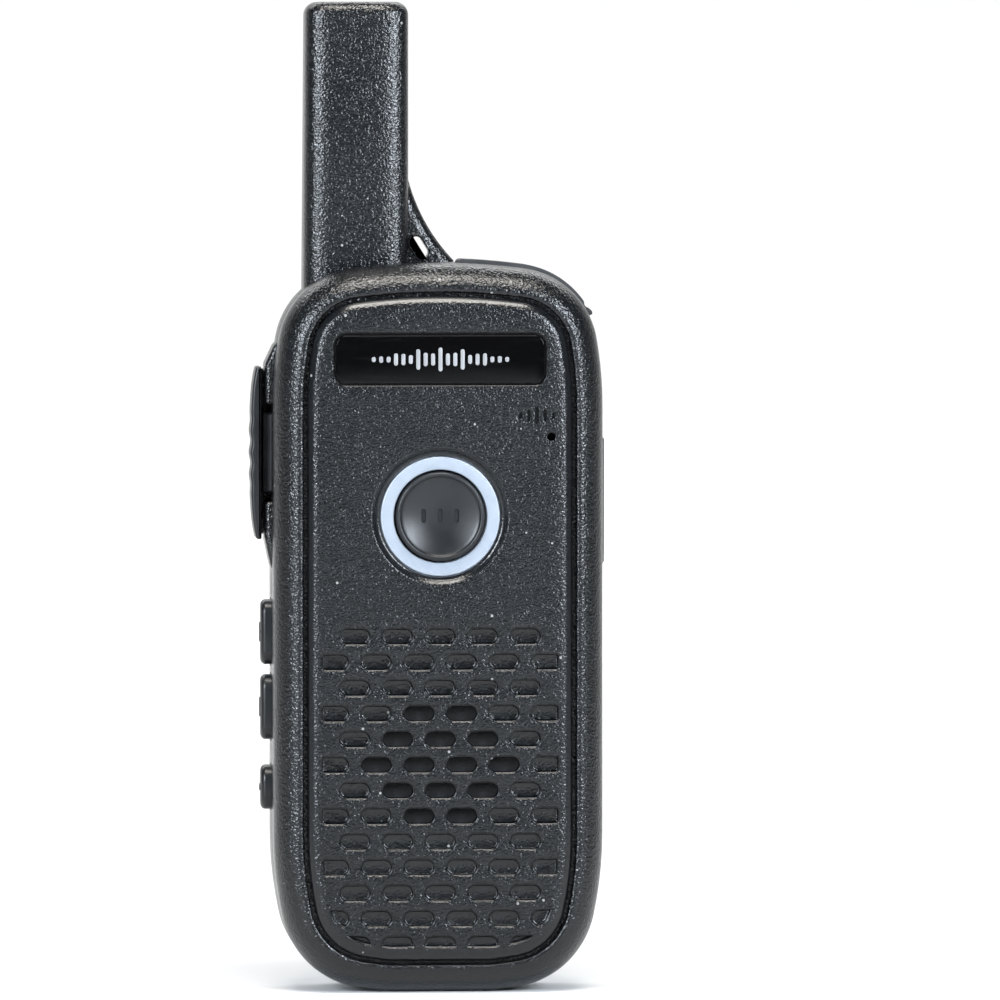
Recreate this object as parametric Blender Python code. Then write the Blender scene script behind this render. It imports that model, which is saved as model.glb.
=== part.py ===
"""Compact handheld two-way radio, as an assembly of its separate pieces.

Frame: metres, +Z up along the antenna, the front face towards -Y, +X to the right as the front is
seen. The origin is the middle of the flat foot under the case. Driving sizes are named below; every
other place is worked out from them, from the wall thickness and from the named clearances.
"""

import math

import bmesh
import bpy
from mathutils import Matrix, Vector

MM = 0.001

# ---- case ------------------------------------------------------------------------------------
BODY_WIDTH = 50.0 * MM
BODY_HEIGHT = 110.4 * MM
BODY_DEPTH = 24.0 * MM
FRONT_SHELL_DEPTH = 9.0 * MM
WALL = 2.0 * MM
SEAM = 0.3 * MM  # gap where two pieces meet
RUN = 0.3 * MM  # clearance round a piece that moves

TOP_CORNER_R, TOP_CROWN_ANGLE, TOP_SIDE_ANGLE = 12.9 * MM, math.radians(7.5), math.radians(80)
FOOT_CORNER_R, FOOT_CROWN_ANGLE, FOOT_SIDE_ANGLE = 14.0 * MM, math.radians(9), math.radians(78)
SIDE_R = 60.0 * MM  # slow curve that eases each corner into its straight side
FOOT_HALF = 8.0 * MM

BEZEL_WIDTH = 4.4 * MM
BEZEL_ROUND = 5.9 * MM
BACK_ROUND_WIDTH, BACK_ROUND_DEPTH = 4.5 * MM, 6.0 * MM
LEDGE_THICKNESS, LEDGE_REACH = 1.2 * MM, 2.7 * MM

# ---- front panel -----------------------------------------------------------------------------
PANEL_GROOVE = 0.55 * MM
PANEL_THICKNESS = 2.0 * MM
PANEL_CROWN = 0.2 * MM
SLOT_LENGTH, SLOT_HEIGHT = 4.5 * MM, 2.2 * MM
SLOT_PITCH_X, SLOT_PITCH_Z = 6.45 * MM, 3.88 * MM
SLOT_DEPTH = 0.9 * MM
SLOT_MARGIN = 2.25 * MM
SLOT_FIRST_Z = 7.5 * MM
SLOTS_PER_ROW = 5
SPEAKER_Z = 34.5 * MM
SPEAKER_OPEN_R = 10.6 * MM
MIC_FROM_BEZEL, MIC_FROM_TOP, MIC_HOLE_R, MIC_BOOT_R = 3.8 * MM, 26.2 * MM, 0.6 * MM, 2.8 * MM
PLATE_WIDTH, PLATE_HEIGHT, PLATE_CORNER = 31.4 * MM, 7.2 * MM, 1.5 * MM
PLATE_THICKNESS, PLATE_FROM_TOP = 0.5 * MM, 14.5 * MM

# ---- front talk button -----------------------------------------------------------------------
TALK_FROM_TOP = 38.2 * MM
TALK_R = 6.75 * MM
TALK_DOME_R = 6.1 * MM
TALK_TRAVEL = 0.6 * MM
RING_WIDTH = 1.95 * MM
DISH_WIDTH = 1.3 * MM
DISH_DEPTH = 0.7 * MM

# ---- keys on the left side -------------------------------------------------------------------
SHOULDER_RISE = 1.0 * MM
KEY_TOP_FROM_TOP, KEY_LENGTH, KEY_DEPTH, KEY_THICKNESS = 15.8 * MM, 26.2 * MM, 7.0 * MM, 1.7 * MM
KEY_NOTCH_LENGTH = 14.7 * MM
KEY_TRAVEL = 0.4 * MM
KEY_FROM_SEAM = 4.3 * MM  # from the rear shell's rim to the middle of the keys
NECK_LENGTH, NECK_DEPTH = 12.6 * MM, 4.4 * MM
PAD_RISE = 1.6 * MM
PAD_DEPTH = 5.2 * MM
PAD_TRAVEL = 0.5 * MM
SIDE_PADS = (  # name, middle below the top of the case, length, corner radius
    ("volume_up", 56.2 * MM, 9.9 * MM, 2.2 * MM),
    ("volume_down", 67.6 * MM, 9.9 * MM, 2.2 * MM),
    ("function", 79.8 * MM, 6.8 * MM, 2.5 * MM),
)
FLANGE_DEPTH, FLANGE_LENGTH, FLANGE_THICKNESS = 0.8 * MM, 0.5 * MM, 0.6 * MM  # beyond the opening's key

# ---- antenna ---------------------------------------------------------------------------------
ANTENNA_RISE = 39.5 * MM
ANTENNA_X, ANTENNA_FROM_SEAM = -12.1 * MM, 6.3 * MM
ANTENNA_HALF_W, ANTENNA_HALF_D, ANTENNA_CORNER = 8.1 * MM, 6.0 * MM, 3.6 * MM
ANTENNA_WALL = 1.8 * MM
ANTENNA_TIP_ROUND = 2.0 * MM
COIL_R, COIL_WIRE_R, COIL_PITCH, COIL_TURNS = 3.0 * MM, 0.4 * MM, 4.0 * MM, 7
GUSSET_TOP_RISE, GUSSET_REACH, GUSSET_R = 12.8 * MM, 7.6 * MM, 28.0 * MM
GUSSET_THICKNESS = 4.6 * MM
EYE_X, EYE_RISE, EYE_LENGTH, EYE_WIDTH, EYE_TILT = -2.3 * MM, 2.2 * MM, 3.6 * MM, 1.8 * MM, math.radians(-58)

# ---- rubber covers and sockets ---------------------------------------------------------------
COVER_PROUD, COVER_SINK = 0.6 * MM, 0.75 * MM
TOP_COVER_X, TOP_COVER_END_ANGLE, TOP_COVER_DEPTH = 3.9 * MM, math.radians(65), 7.1 * MM
USB_X, USB_WIDTH, USB_HEIGHT, USB_LENGTH = 9.4 * MM, 9.0 * MM, 3.2 * MM, 7.3 * MM
USB_FROM_SEAM = 2.4 * MM
JACK_COVER_FROM_TOP, JACK_COVER_LENGTH, JACK_COVER_DEPTH = 26.5 * MM, 19.5 * MM, 6.8 * MM
JACK_FROM_SEAM = 4.4 * MM
JACK_SPACING, JACK_LENGTH = 11.0 * MM, 14.0 * MM
JACK_HOLES = (("small", 1.3 * MM), ("large", 1.8 * MM))

# ---- back ------------------------------------------------------------------------------------
DOOR_FROM_SIDE, DOOR_THICKNESS, DOOR_TOP_FROM_TOP, DOOR_FLARE = 7.0 * MM, 1.7 * MM, 42.0 * MM, 0.9 * MM
DOOR_TRAVEL = 12.0 * MM
GRIP_COUNT, GRIP_PITCH, GRIP_WIDTH, GRIP_HALF_LENGTH = 5, 1.8 * MM, 0.8 * MM, 7.0 * MM
BAY_FROM_SIDE, BAY_BOTTOM, BAY_WALL, BAY_TOP_FROM_TOP = 8.0 * MM, 14.0 * MM, 1.3 * MM, 48.0 * MM
BATTERY_THICKNESS = 6.2 * MM
CONTACT_PITCH = 5.0 * MM
CLIP_PIVOT_FROM_TOP, CLIP_PIVOT_OUT = 20.4 * MM, 4.9 * MM
CLIP_HALF_W, CLIP_THICKNESS, CLIP_DOWN, CLIP_UP = 7.6 * MM, 1.7 * MM, 47.0 * MM, 9.5 * MM
CLIP_TIP_GAP = 0.9 * MM
BRACKET_HALF_W, BRACKET_THICKNESS, BRACKET_DOWN, BRACKET_UP = 10.4 * MM, 1.8 * MM, 11.5 * MM, 6.5 * MM
EAR_THICKNESS, EAR_R = 2.1 * MM, 2.7 * MM
PIN_R = 0.8 * MM

# ---- inside ----------------------------------------------------------------------------------
BOARD_FROM_FRONT, BOARD_THICKNESS, BOARD_INSET = 8.0 * MM, 1.2 * MM, 3.0 * MM
SCREW_R, SCREW_HEAD_R, SCREW_HEAD_H = 1.0 * MM, 1.9 * MM, 1.2 * MM
BOSS_R = 2.4 * MM
SEAL_STEP = 1.1 * MM
TOP_BOSS = (8.2 * MM, 9.2 * MM)  # in from the side, below the top of the case
FOOT_BOSS = (9.4 * MM, 9.6 * MM)  # in from the side, above the foot
SPEAKER_R = 14.0 * MM

# ---- planes worked out from the sizes above ------------------------------------------------------
HALF = BODY_WIDTH / 2
FRONT_Y = -BODY_DEPTH / 2
BACK_Y = BODY_DEPTH / 2
SEAM_Y = FRONT_Y + FRONT_SHELL_DEPTH
REAR_Y = SEAM_Y + SEAM
PANEL_BACK_Y = FRONT_Y + PANEL_THICKNESS
PANEL_EDGE = BEZEL_WIDTH + PANEL_GROOVE
LEDGE_Y = PANEL_BACK_Y + SEAM
BOARD_Y = FRONT_Y + BOARD_FROM_FRONT
BOARD_BACK_Y = BOARD_Y + BOARD_THICKNESS
DOOR_FLOOR_Y = BACK_Y - DOOR_THICKNESS - SEAM
BAY_FLOOR_Y = DOOR_FLOOR_Y - BATTERY_THICKNESS - SEAM
CAVITY_BACK_Y = DOOR_FLOOR_Y - WALL
TALK_Z = BODY_HEIGHT - TALK_FROM_TOP
RING_INNER_R = TALK_R + RUN
RING_OUTER_R = RING_INNER_R + RING_WIDTH
MIC_X = HALF - BEZEL_WIDTH - MIC_FROM_BEZEL
KEY_Y = REAR_Y + KEY_FROM_SEAM
USB_Y = REAR_Y + USB_FROM_SEAM
JACK_COVER_Y = REAR_Y + JACK_FROM_SEAM
ANTENNA_Y = REAR_Y + ANTENNA_FROM_SEAM
DOOR_HALF_W = HALF - DOOR_FROM_SIDE
BAY_HALF_W = HALF - BAY_FROM_SIDE

BLACK = (0.018, 0.020, 0.023)
MATERIALS = {  # name: (colour, roughness, metallic)
    "shell_plastic": (BLACK, 0.5, 0.0),
    "panel_plastic": (BLACK, 0.5, 0.0),
    "plate_gloss": ((0.002, 0.002, 0.002), 0.08, 0.0),
    "light_guide": ((0.62, 0.71, 0.86), 0.3, 0.0),
    "key_rubber": ((0.022, 0.025, 0.029), 0.42, 0.0),
    "cover_rubber": ((0.015, 0.016, 0.018), 0.55, 0.0),
    "bright_steel": ((0.6, 0.6, 0.62), 0.3, 1.0),
    "gold": ((0.83, 0.6, 0.25), 0.3, 1.0),
    "circuit_board": ((0.015, 0.11, 0.05), 0.45, 0.0),
    "chip_plastic": ((0.02, 0.02, 0.02), 0.5, 0.0),
    "white_plastic": ((0.75, 0.75, 0.72), 0.5, 0.0),
    "battery_wrap": ((0.08, 0.09, 0.11), 0.4, 0.0),
    "copper": ((0.72, 0.35, 0.2), 0.3, 1.0),
    "ferrite": ((0.08, 0.08, 0.085), 0.6, 0.3),
    "paper_cone": ((0.05, 0.05, 0.05), 0.8, 0.0),
    "felt": ((0.01, 0.01, 0.01), 0.95, 0.0),
}


# ---- outline of the case ---------------------------------------------------------------------
class End:
    """Half of one end of the case: a wide crown, a corner and a slow side curve, tangent in turn.

    angle is the turn of the outward normal from straight out of the end (0) to straight sideways.
    """

    def __init__(self, corner_r, crown_angle, side_angle):
        across_corner = corner_r * (math.sin(side_angle) - math.sin(crown_angle))
        across_side = SIDE_R * (1 - math.sin(side_angle))
        crown_r = (HALF - across_corner - across_side) / math.sin(crown_angle)
        self.arcs = (
            (crown_r, 0.0, crown_angle),
            (corner_r, crown_angle, side_angle),
            (SIDE_R, side_angle, math.pi / 2),
        )
        self.drop = self.at(math.pi / 2)[1]

    def at(self, angle):
        """(distance from the middle, distance below the crown) where the normal has this angle."""
        across = down = 0.0
        for radius, start, end in self.arcs:
            stop = min(max(angle, start), end)
            across += radius * (math.sin(stop) - math.sin(start))
            down += radius * (math.cos(start) - math.cos(stop))
        return across, down

    def angle_at(self, across):
        """The normal's angle at this distance from the middle."""
        low, high = 0.0, math.pi / 2
        for _ in range(40):
            middle = (low + high) / 2
            if self.at(middle)[0] < across:
                low = middle
            else:
                high = middle
        return low


TOP = End(TOP_CORNER_R, TOP_CROWN_ANGLE, TOP_SIDE_ANGLE)
FOOT = End(FOOT_CORNER_R, FOOT_CROWN_ANGLE, FOOT_SIDE_ANGLE)
FOOT_FLAT_ANGLE = FOOT.angle_at(FOOT_HALF)
FOOT_SAG = FOOT.at(FOOT_FLAT_ANGLE)[1]


def steps(start, end, count):
    return [start + (end - start) * i / count for i in range(count + 1)]


def top_point(angle, offset=0.0):
    """(x, z) on the right half of the top, offset inwards along the normal."""
    across, down = TOP.at(angle)
    x = across - offset * math.sin(angle)
    return x, BODY_HEIGHT - down - offset * math.cos(angle)


def foot_point(angle, offset=0.0):
    across, down = FOOT.at(angle)
    return across - offset * math.sin(angle), down - FOOT_SAG + offset * math.cos(angle)


def case_outline(offset=0.0):
    """Closed (x, z) outline of the case, anticlockwise as the front is seen, offset inwards."""
    foot_angles = [FOOT_FLAT_ANGLE]
    foot_angles += steps(FOOT_CROWN_ANGLE, FOOT_SIDE_ANGLE, 7) + [math.pi / 2]
    top_angles = [0.0, TOP_CROWN_ANGLE / 2] + steps(TOP_CROWN_ANGLE, TOP_SIDE_ANGLE, 7) + [math.pi / 2]
    right = [foot_point(a, offset) for a in foot_angles]
    right += [top_point(a, offset) for a in reversed(top_angles)]
    left = [(-x, z) for x, z in reversed(right) if x > 1e-9]
    return right + left


# ---- mesh helpers ----------------------------------------------------------------------------
def object_of(name, mesh, location=(0, 0, 0)):
    obj = bpy.data.objects.new(name, mesh)
    obj.location = location
    bpy.context.scene.collection.objects.link(obj)
    return obj


def mesh_of(name, rings, looped=False):
    """A closed mesh through rings of equal length: capped at both ends, or looped into a ring."""
    work = bmesh.new()
    rows = [[work.verts.new(point) for point in ring] for ring in rings]
    count = len(rows[0])
    pairs = list(zip(rows, rows[1:] + rows[:1])) if looped else list(zip(rows, rows[1:]))
    for here, there in pairs:
        for i in range(count):
            j = (i + 1) % count
            work.faces.new((here[i], here[j], there[j], there[i]))
    if not looped:
        work.faces.new(rows[0])
        work.faces.new(rows[-1])
    bmesh.ops.recalc_face_normals(work, faces=work.faces)
    mesh = bpy.data.meshes.new(name)
    work.to_mesh(mesh)
    work.free()
    return mesh


def finish(obj, material):
    obj.data.materials.append(material_named(material))
    obj.data.shade_smooth()
    obj.data.set_sharp_from_angle(angle=math.radians(35))
    return obj


def material_named(name):
    found = bpy.data.materials.get(name)
    if found:
        return found
    made = bpy.data.materials.new(name)
    made.use_nodes = True
    colour, roughness, metallic = MATERIALS[name]
    shader = made.node_tree.nodes["Principled BSDF"]
    shader.inputs["Base Color"].default_value = (*colour, 1)
    shader.inputs["Roughness"].default_value = roughness
    shader.inputs["Metallic"].default_value = metallic
    made.diffuse_color = (*colour, 1)
    return made


def case_ring(offset, y):
    return [Vector((x, y, z)) for x, z in case_outline(offset)]


def case_loft(name, profile, looped=False):
    """The case's outline carried through (inward offset, y) stations."""
    return object_of(name, mesh_of(name, [case_ring(o, y) for o, y in profile], looped))


def along(axis, a, b, level):
    """A point from its two cross coordinates and its level along an axis, in x, y, z order."""
    return {"X": (level, a, b), "Y": (a, level, b), "Z": (a, b, level)}[axis]


def section_loft(name, axis, stations, location=(0, 0, 0)):
    """A solid through (level, points) stations, where points are its section across the axis."""
    rings = [[Vector(along(axis, a, b, level)) for a, b in points] for level, points in stations]
    return object_of(name, mesh_of(name, rings), location)


def prism(name, axis, points, low, high, location=(0, 0, 0)):
    return section_loft(name, axis, [(low, points), (high, points)], location)


def box(name, low, high):
    (x0, y0, z0), (x1, y1, z1) = low, high
    return prism(name, "Z", [(x0, y0), (x1, y0), (x1, y1), (x0, y1)], z0, z1)


def rounded_rectangle(half_a, half_b, corner, segments=3, centre=(0.0, 0.0)):
    points = []
    for turn, (side_a, side_b) in enumerate(((1, 1), (-1, 1), (-1, -1), (1, -1))):
        for angle in steps(turn * math.pi / 2, (turn + 1) * math.pi / 2, segments):
            a = centre[0] + side_a * (half_a - corner) + corner * math.cos(angle)
            b = centre[1] + side_b * (half_b - corner) + corner * math.sin(angle)
            points.append((a, b))
    return points


def circle(radius, segments, centre=(0.0, 0.0)):
    angles = [2 * math.pi * (i + 0.5) / segments for i in range(segments)]
    return [(centre[0] + radius * math.cos(a), centre[1] + radius * math.sin(a)) for a in angles]


def arc(centre, radius, start, end, segments):
    return [
        (centre[0] + radius * math.cos(a), centre[1] + radius * math.sin(a))
        for a in steps(start, end, segments)
    ]


def rod(name, axis, radius, low, high, segments=12, centre=(0.0, 0.0)):
    """A cylinder along an axis, its centre given by the two cross coordinates."""
    return prism(name, axis, circle(radius, segments, centre), low, high)


def turned(name, profile, segments, location, axis="Y"):
    """A solid turned about an axis through its location, from (radius, level) stations."""
    stations = [(level, circle(radius, segments)) for radius, level in profile]
    return section_loft(name, axis, stations, location)


def turned_ring(name, profile, segments, location):
    """A ring turned about Y, from a closed loop of (radius, y) points."""
    rings = [[Vector((a, y, b)) for a, b in circle(r, segments)] for r, y in profile]
    return object_of(name, mesh_of(name, rings, looped=True), location)


def tube(name, points, radius, resolution=1):
    """A round wire through points, as a curve with closed ends."""
    curve = bpy.data.curves.new(name, "CURVE")
    curve.dimensions = "3D"
    curve.bevel_depth = radius
    curve.bevel_resolution = resolution
    curve.use_fill_caps = True
    line = curve.splines.new("POLY")
    line.points.add(len(points) - 1)
    for target, point in zip(line.points, points):
        target.co = (*point, 1)
    obj = object_of(name, curve)
    return obj


def helper(obj):
    """Marks a cutter or an added shape, which isn't a piece of the radio itself."""
    obj.hide_render = True
    obj.display_type = "WIRE"
    return obj


def combine(obj, operation, *others):
    for other in others:
        helper(other)
        modifier = obj.modifiers.new(f"{operation.lower()}_{other.name}"[:60], "BOOLEAN")
        modifier.operation = operation
        modifier.solver = "EXACT"
        modifier.object = other
    return obj


def cut(obj, *others):
    return combine(obj, "DIFFERENCE", *others)


def join(obj, *others):
    return combine(obj, "UNION", *others)


def joined_mesh(name, objects):
    """One helper from shapes that don't touch each other."""
    work = bmesh.new()
    for obj in objects:
        work.from_mesh(obj.data)
        bpy.data.objects.remove(obj)
    mesh = bpy.data.meshes.new(name)
    work.to_mesh(mesh)
    work.free()
    return helper(object_of(name, mesh))


def below_top(distance):
    return BODY_HEIGHT - distance


# ---- front shell and panel -------------------------------------------------------------------
def bezel_profile():
    """Outer side of the front shell, from the seam round to the groove, as (offset, y)."""
    straight_end = FRONT_Y + BEZEL_ROUND
    rounded = [
        (
            (BEZEL_WIDTH + 0.4 * MM) * (1 - math.cos(a)),
            straight_end - (BEZEL_ROUND - 0.25 * MM) * math.sin(a),
        )
        for a in steps(0, math.radians(78), 6)
    ]
    return [(0.0, SEAM_Y)] + rounded


def boss_places():
    """(x, z) of the four case screws: two at the top, then two at the foot."""
    top = [(side * (HALF - TOP_BOSS[0]), below_top(TOP_BOSS[1])) for side in (-1, 1)]
    foot = [(side * (HALF - FOOT_BOSS[0]), FOOT_BOSS[1]) for side in (-1, 1)]
    return top + foot


def build_front_shell():
    outer = bezel_profile()
    lip_y = outer[-1][1]
    inner = [
        (BEZEL_WIDTH, lip_y),
        (BEZEL_WIDTH, LEDGE_Y),
        (BEZEL_WIDTH + LEDGE_REACH, LEDGE_Y),
        (BEZEL_WIDTH + LEDGE_REACH, LEDGE_Y + LEDGE_THICKNESS),
        (WALL, LEDGE_Y + LEDGE_THICKNESS),
        (WALL, SEAM_Y),
    ]
    shell = case_loft("front_shell", outer + inner, looped=True)
    mic_place = (MIC_X, below_top(MIC_FROM_TOP))
    cut(shell, rod("mic_clearance", "Y", MIC_BOOT_R + RUN, PANEL_BACK_Y - MM, SEAM_Y, 16, mic_place))
    boss_low, boss_high = LEDGE_Y + LEDGE_THICKNESS / 2, BOARD_Y - SEAM
    for number, place in enumerate(boss_places(), 1):
        join(shell, rod(f"front_boss_{number}", "Y", BOSS_R, boss_low, boss_high, 12, place))
        pilot_r = SCREW_R + 0.1 * MM
        cut(shell, rod(f"front_pilot_{number}", "Y", pilot_r, boss_low + MM, boss_high + MM, 8, place))
    return finish(shell, "shell_plastic")


def slot_rows():
    """(z, x places) of each row of slots, from the lowest up to the talk button's dish."""
    highest = TALK_Z - RING_OUTER_R - DISH_WIDTH - 1.25 * SLOT_PITCH_Z
    rows = []
    while SLOT_FIRST_Z + len(rows) * SLOT_PITCH_Z < highest:
        wide = len(rows) % 2
        count = SLOTS_PER_ROW + wide
        places = [(i - (count - 1) / 2) * SLOT_PITCH_X for i in range(count)]
        rows.append((SLOT_FIRST_Z + len(rows) * SLOT_PITCH_Z, places))
    return rows


def slot_outline(x, z):
    return rounded_rectangle(SLOT_LENGTH / 2, SLOT_HEIGHT / 2, SLOT_HEIGHT * 0.499, 2, (x, z))


def slot_cutters():
    """The blind slots and the open ones over the speaker, each as one helper."""
    blind, through = [], []
    for z, places in slot_rows():
        for x in places:
            is_open = math.hypot(x, z - SPEAKER_Z) < SPEAKER_OPEN_R
            depth = PANEL_BACK_Y + MM if is_open else FRONT_Y + SLOT_DEPTH
            shape = prism("slot", "Y", slot_outline(x, z), FRONT_Y - 2 * MM, depth)
            (through if is_open else blind).append(shape)
    field = helper(case_loft("slot_field", [
        (PANEL_EDGE + SLOT_MARGIN, FRONT_Y - MM), (PANEL_EDGE + SLOT_MARGIN, PANEL_BACK_Y + MM / 2)]))
    blind_slots = joined_mesh("blind_slots", blind)
    through_slots = joined_mesh("through_slots", through)
    combine(blind_slots, "INTERSECT", field)
    return blind_slots, through_slots


def build_front_panel():
    face_y = FRONT_Y - PANEL_CROWN
    panel = case_loft("front_panel", [
        (PANEL_EDGE, PANEL_BACK_Y),
        (PANEL_EDGE, FRONT_Y + 0.8 * MM),
        (PANEL_EDGE + 0.3 * MM, FRONT_Y + 0.25 * MM),
        (PANEL_EDGE + 1.0 * MM, FRONT_Y),
        (PANEL_EDGE + 3.5 * MM, face_y),
    ])
    dish = turned("talk_dish", [
        (RING_OUTER_R + DISH_WIDTH, face_y - 0.01 * MM),
        (RING_OUTER_R + RUN, face_y + DISH_DEPTH),
        (RING_OUTER_R + RUN, PANEL_BACK_Y + MM),
    ], 32, (0, 0, TALK_Z))
    plate_z = below_top(PLATE_FROM_TOP)
    recess = rounded_rectangle(
        PLATE_WIDTH / 2 + SEAM, PLATE_HEIGHT / 2 + SEAM, PLATE_CORNER + SEAM, 3, (0, plate_z))
    mic_place = (MIC_X, below_top(MIC_FROM_TOP))
    cut(
        panel,
        dish,
        prism("plate_recess", "Y", recess, face_y - MM, face_y + PLATE_THICKNESS + SEAM),
        rod("mic_hole", "Y", MIC_HOLE_R, face_y - MM, PANEL_BACK_Y + MM, 10, mic_place),
        *slot_cutters(),
    )
    finish(panel, "panel_plastic")
    plate_shape = rounded_rectangle(PLATE_WIDTH / 2, PLATE_HEIGHT / 2, PLATE_CORNER)
    plate = prism("name_plate", "Y", plate_shape, 0, PLATE_THICKNESS, (0, face_y, plate_z))
    finish(plate, "plate_gloss")


# ---- front talk button -----------------------------------------------------------------------
def build_front_talk_button():
    place = (0, 0, TALK_Z)
    ring_front = FRONT_Y + 0.1 * MM
    flange_front, flange_back = PANEL_BACK_Y + SEAM, PANEL_BACK_Y + SEAM + 0.7 * MM
    ring = turned_ring("talk_light_ring", [
        (RING_INNER_R, ring_front),
        (RING_OUTER_R, ring_front),
        (RING_OUTER_R, flange_front),
        (RING_OUTER_R + MM, flange_front),
        (RING_OUTER_R + MM, flange_back),
        (RING_INNER_R, flange_back),
    ], 32, place)
    finish(ring, "light_guide")
    button_flange = flange_back + RUN
    post_end = button_flange + FLANGE_THICKNESS + 1.2 * MM
    button = turned("front_talk_button", [
        (TALK_DOME_R - 2.6 * MM, FRONT_Y - 0.55 * MM),
        (TALK_DOME_R - 0.7 * MM, FRONT_Y - 0.9 * MM),
        (TALK_DOME_R, FRONT_Y - 0.6 * MM),
        (TALK_DOME_R, FRONT_Y - 0.1 * MM),
        (TALK_R, FRONT_Y),
        (TALK_R, button_flange),
        (TALK_R + MM, button_flange),
        (TALK_R + MM, button_flange + FLANGE_THICKNESS),
        (1.5 * MM, button_flange + FLANGE_THICKNESS),
        (1.5 * MM, post_end),
    ], 28, place)
    finish(button, "key_rubber")
    build_front_switch(post_end)


def build_front_switch(post_end):
    """A tact switch on the board's front, its stem following the talk button."""
    stem_front = post_end + SEAM
    body_front = stem_front + 0.3 * MM
    half = 3.0 * MM
    body_back = BOARD_Y - SEAM
    body = box("front_talk_switch", (-half, body_front, TALK_Z - half), (half, body_back, TALK_Z + half))
    stem_half = 0.9 * MM
    pocket_half = stem_half + 0.15 * MM
    pocket_end = body_back - 0.2 * MM
    stem_back = pocket_end - TALK_TRAVEL - 0.05 * MM
    cut(body, box(
        "talk_switch_pocket",
        (-pocket_half, body_front - MM, TALK_Z - pocket_half),
        (pocket_half, pocket_end, TALK_Z + pocket_half)))
    finish(body, "chip_plastic")
    stem = box(
        "front_talk_stem",
        (-stem_half, stem_front, TALK_Z - stem_half),
        (stem_half, stem_back, TALK_Z + stem_half))
    finish(stem, "white_plastic")


# ---- rear shell ------------------------------------------------------------------------------
def rear_outer(name):
    """The rear half's outer form, without its antenna, shoulders or openings."""
    start = BACK_Y - BACK_ROUND_DEPTH
    rounded = [
        (BACK_ROUND_WIDTH * (1 - math.cos(a)), start + BACK_ROUND_DEPTH * math.sin(a))
        for a in steps(0, math.pi / 2, 5)
    ]
    return case_loft(name, [(0.0, REAR_Y)] + rounded)


def antenna_section(shrink, lean):
    """The antenna's section, moved towards its straight right side by lean as it narrows."""
    return rounded_rectangle(
        ANTENNA_HALF_W - shrink, ANTENNA_HALF_D - shrink, ANTENNA_CORNER - min(shrink, 2 * MM), 3,
        (ANTENNA_X + lean, ANTENNA_Y))


def antenna_top():
    return BODY_HEIGHT + ANTENNA_RISE


def antenna_solid():
    top, tip = antenna_top(), ANTENNA_TIP_ROUND
    bottom = below_top(TOP.drop / 2)
    taper = 0.2 * MM
    return section_loft("antenna_solid", "Z", [
        (bottom, antenna_section(0, 0)),
        (top - tip, antenna_section(taper, taper)),
        (top - 0.6 * tip, antenna_section(taper + 0.1 * tip, taper)),
        (top - 0.2 * tip, antenna_section(taper + 0.4 * tip, taper)),
        (top, antenna_section(taper + tip, taper)),
    ])


def antenna_bore():
    """The hollow for the aerial, open into the case below."""
    return section_loft("antenna_bore", "Z", [
        (below_top(TOP.drop / 2 + 2 * MM), antenna_section(ANTENNA_WALL, 0)),
        (antenna_top() - ANTENNA_WALL - 0.4 * MM, antenna_section(ANTENNA_WALL + 0.3 * MM, 0)),
    ])


def gusset_outline():
    """The web beside the antenna: its free edge is one concave arc between two end points."""
    root_x = ANTENNA_X + ANTENNA_HALF_W
    start = Vector((root_x, BODY_HEIGHT + GUSSET_TOP_RISE))
    end = Vector((root_x + GUSSET_REACH, below_top(0.4 * MM)))
    chord = end - start
    middle = (start + end) / 2
    normal = Vector((-chord.y, chord.x)).normalized()
    height = math.sqrt(GUSSET_R**2 - chord.length_squared / 4)
    centre = middle + normal * height
    first = math.atan2(start.y - centre.y, start.x - centre.x) % (2 * math.pi)
    last = math.atan2(end.y - centre.y, end.x - centre.x) % (2 * math.pi)
    edge = arc(centre, GUSSET_R, first, last, 7)
    buried_z = below_top(3 * MM)
    buried_x = root_x - 2.5 * MM
    return edge + [(end.x, buried_z), (buried_x, buried_z), (buried_x, start.y)]


def eye_cutter():
    """The slanting slot for a lanyard."""
    middle = Vector((EYE_X, BODY_HEIGHT + EYE_RISE))
    turn = Matrix.Rotation(EYE_TILT, 2)
    points = rounded_rectangle(EYE_LENGTH / 2, EYE_WIDTH / 2, EYE_WIDTH * 0.499, 3)
    points = [tuple(middle + turn @ Vector(p)) for p in points]
    return prism("lanyard_eye", "Y", points, ANTENNA_Y - 6 * MM, ANTENNA_Y + 6 * MM)


def key_span():
    top = below_top(KEY_TOP_FROM_TOP)
    return top - KEY_LENGTH, top


def shoulder_solid():
    """The raised pod under the side talk key, sloping back into the case at both ends."""
    low, high = key_span()
    out = -(HALF + SHOULDER_RISE)
    inside = -(HALF - WALL / 2)
    points = [
        (inside, high + 4.4 * MM),
        (-(HALF - 0.6 * MM), high + 3.8 * MM),
        (out, high + 0.4 * MM),
        (out, low - 0.2 * MM),
        (-(HALF - 0.1 * MM), low - 5.5 * MM),
        (inside, low - 6.0 * MM),
    ]
    half = KEY_DEPTH / 2 + 0.6 * MM
    return prism("shoulder_solid", "Y", points, KEY_Y - half, KEY_Y + half)


def notch_span():
    low, high = key_span()
    middle = (low + high) / 2
    return middle - KEY_NOTCH_LENGTH / 2, middle + KEY_NOTCH_LENGTH / 2


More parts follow.
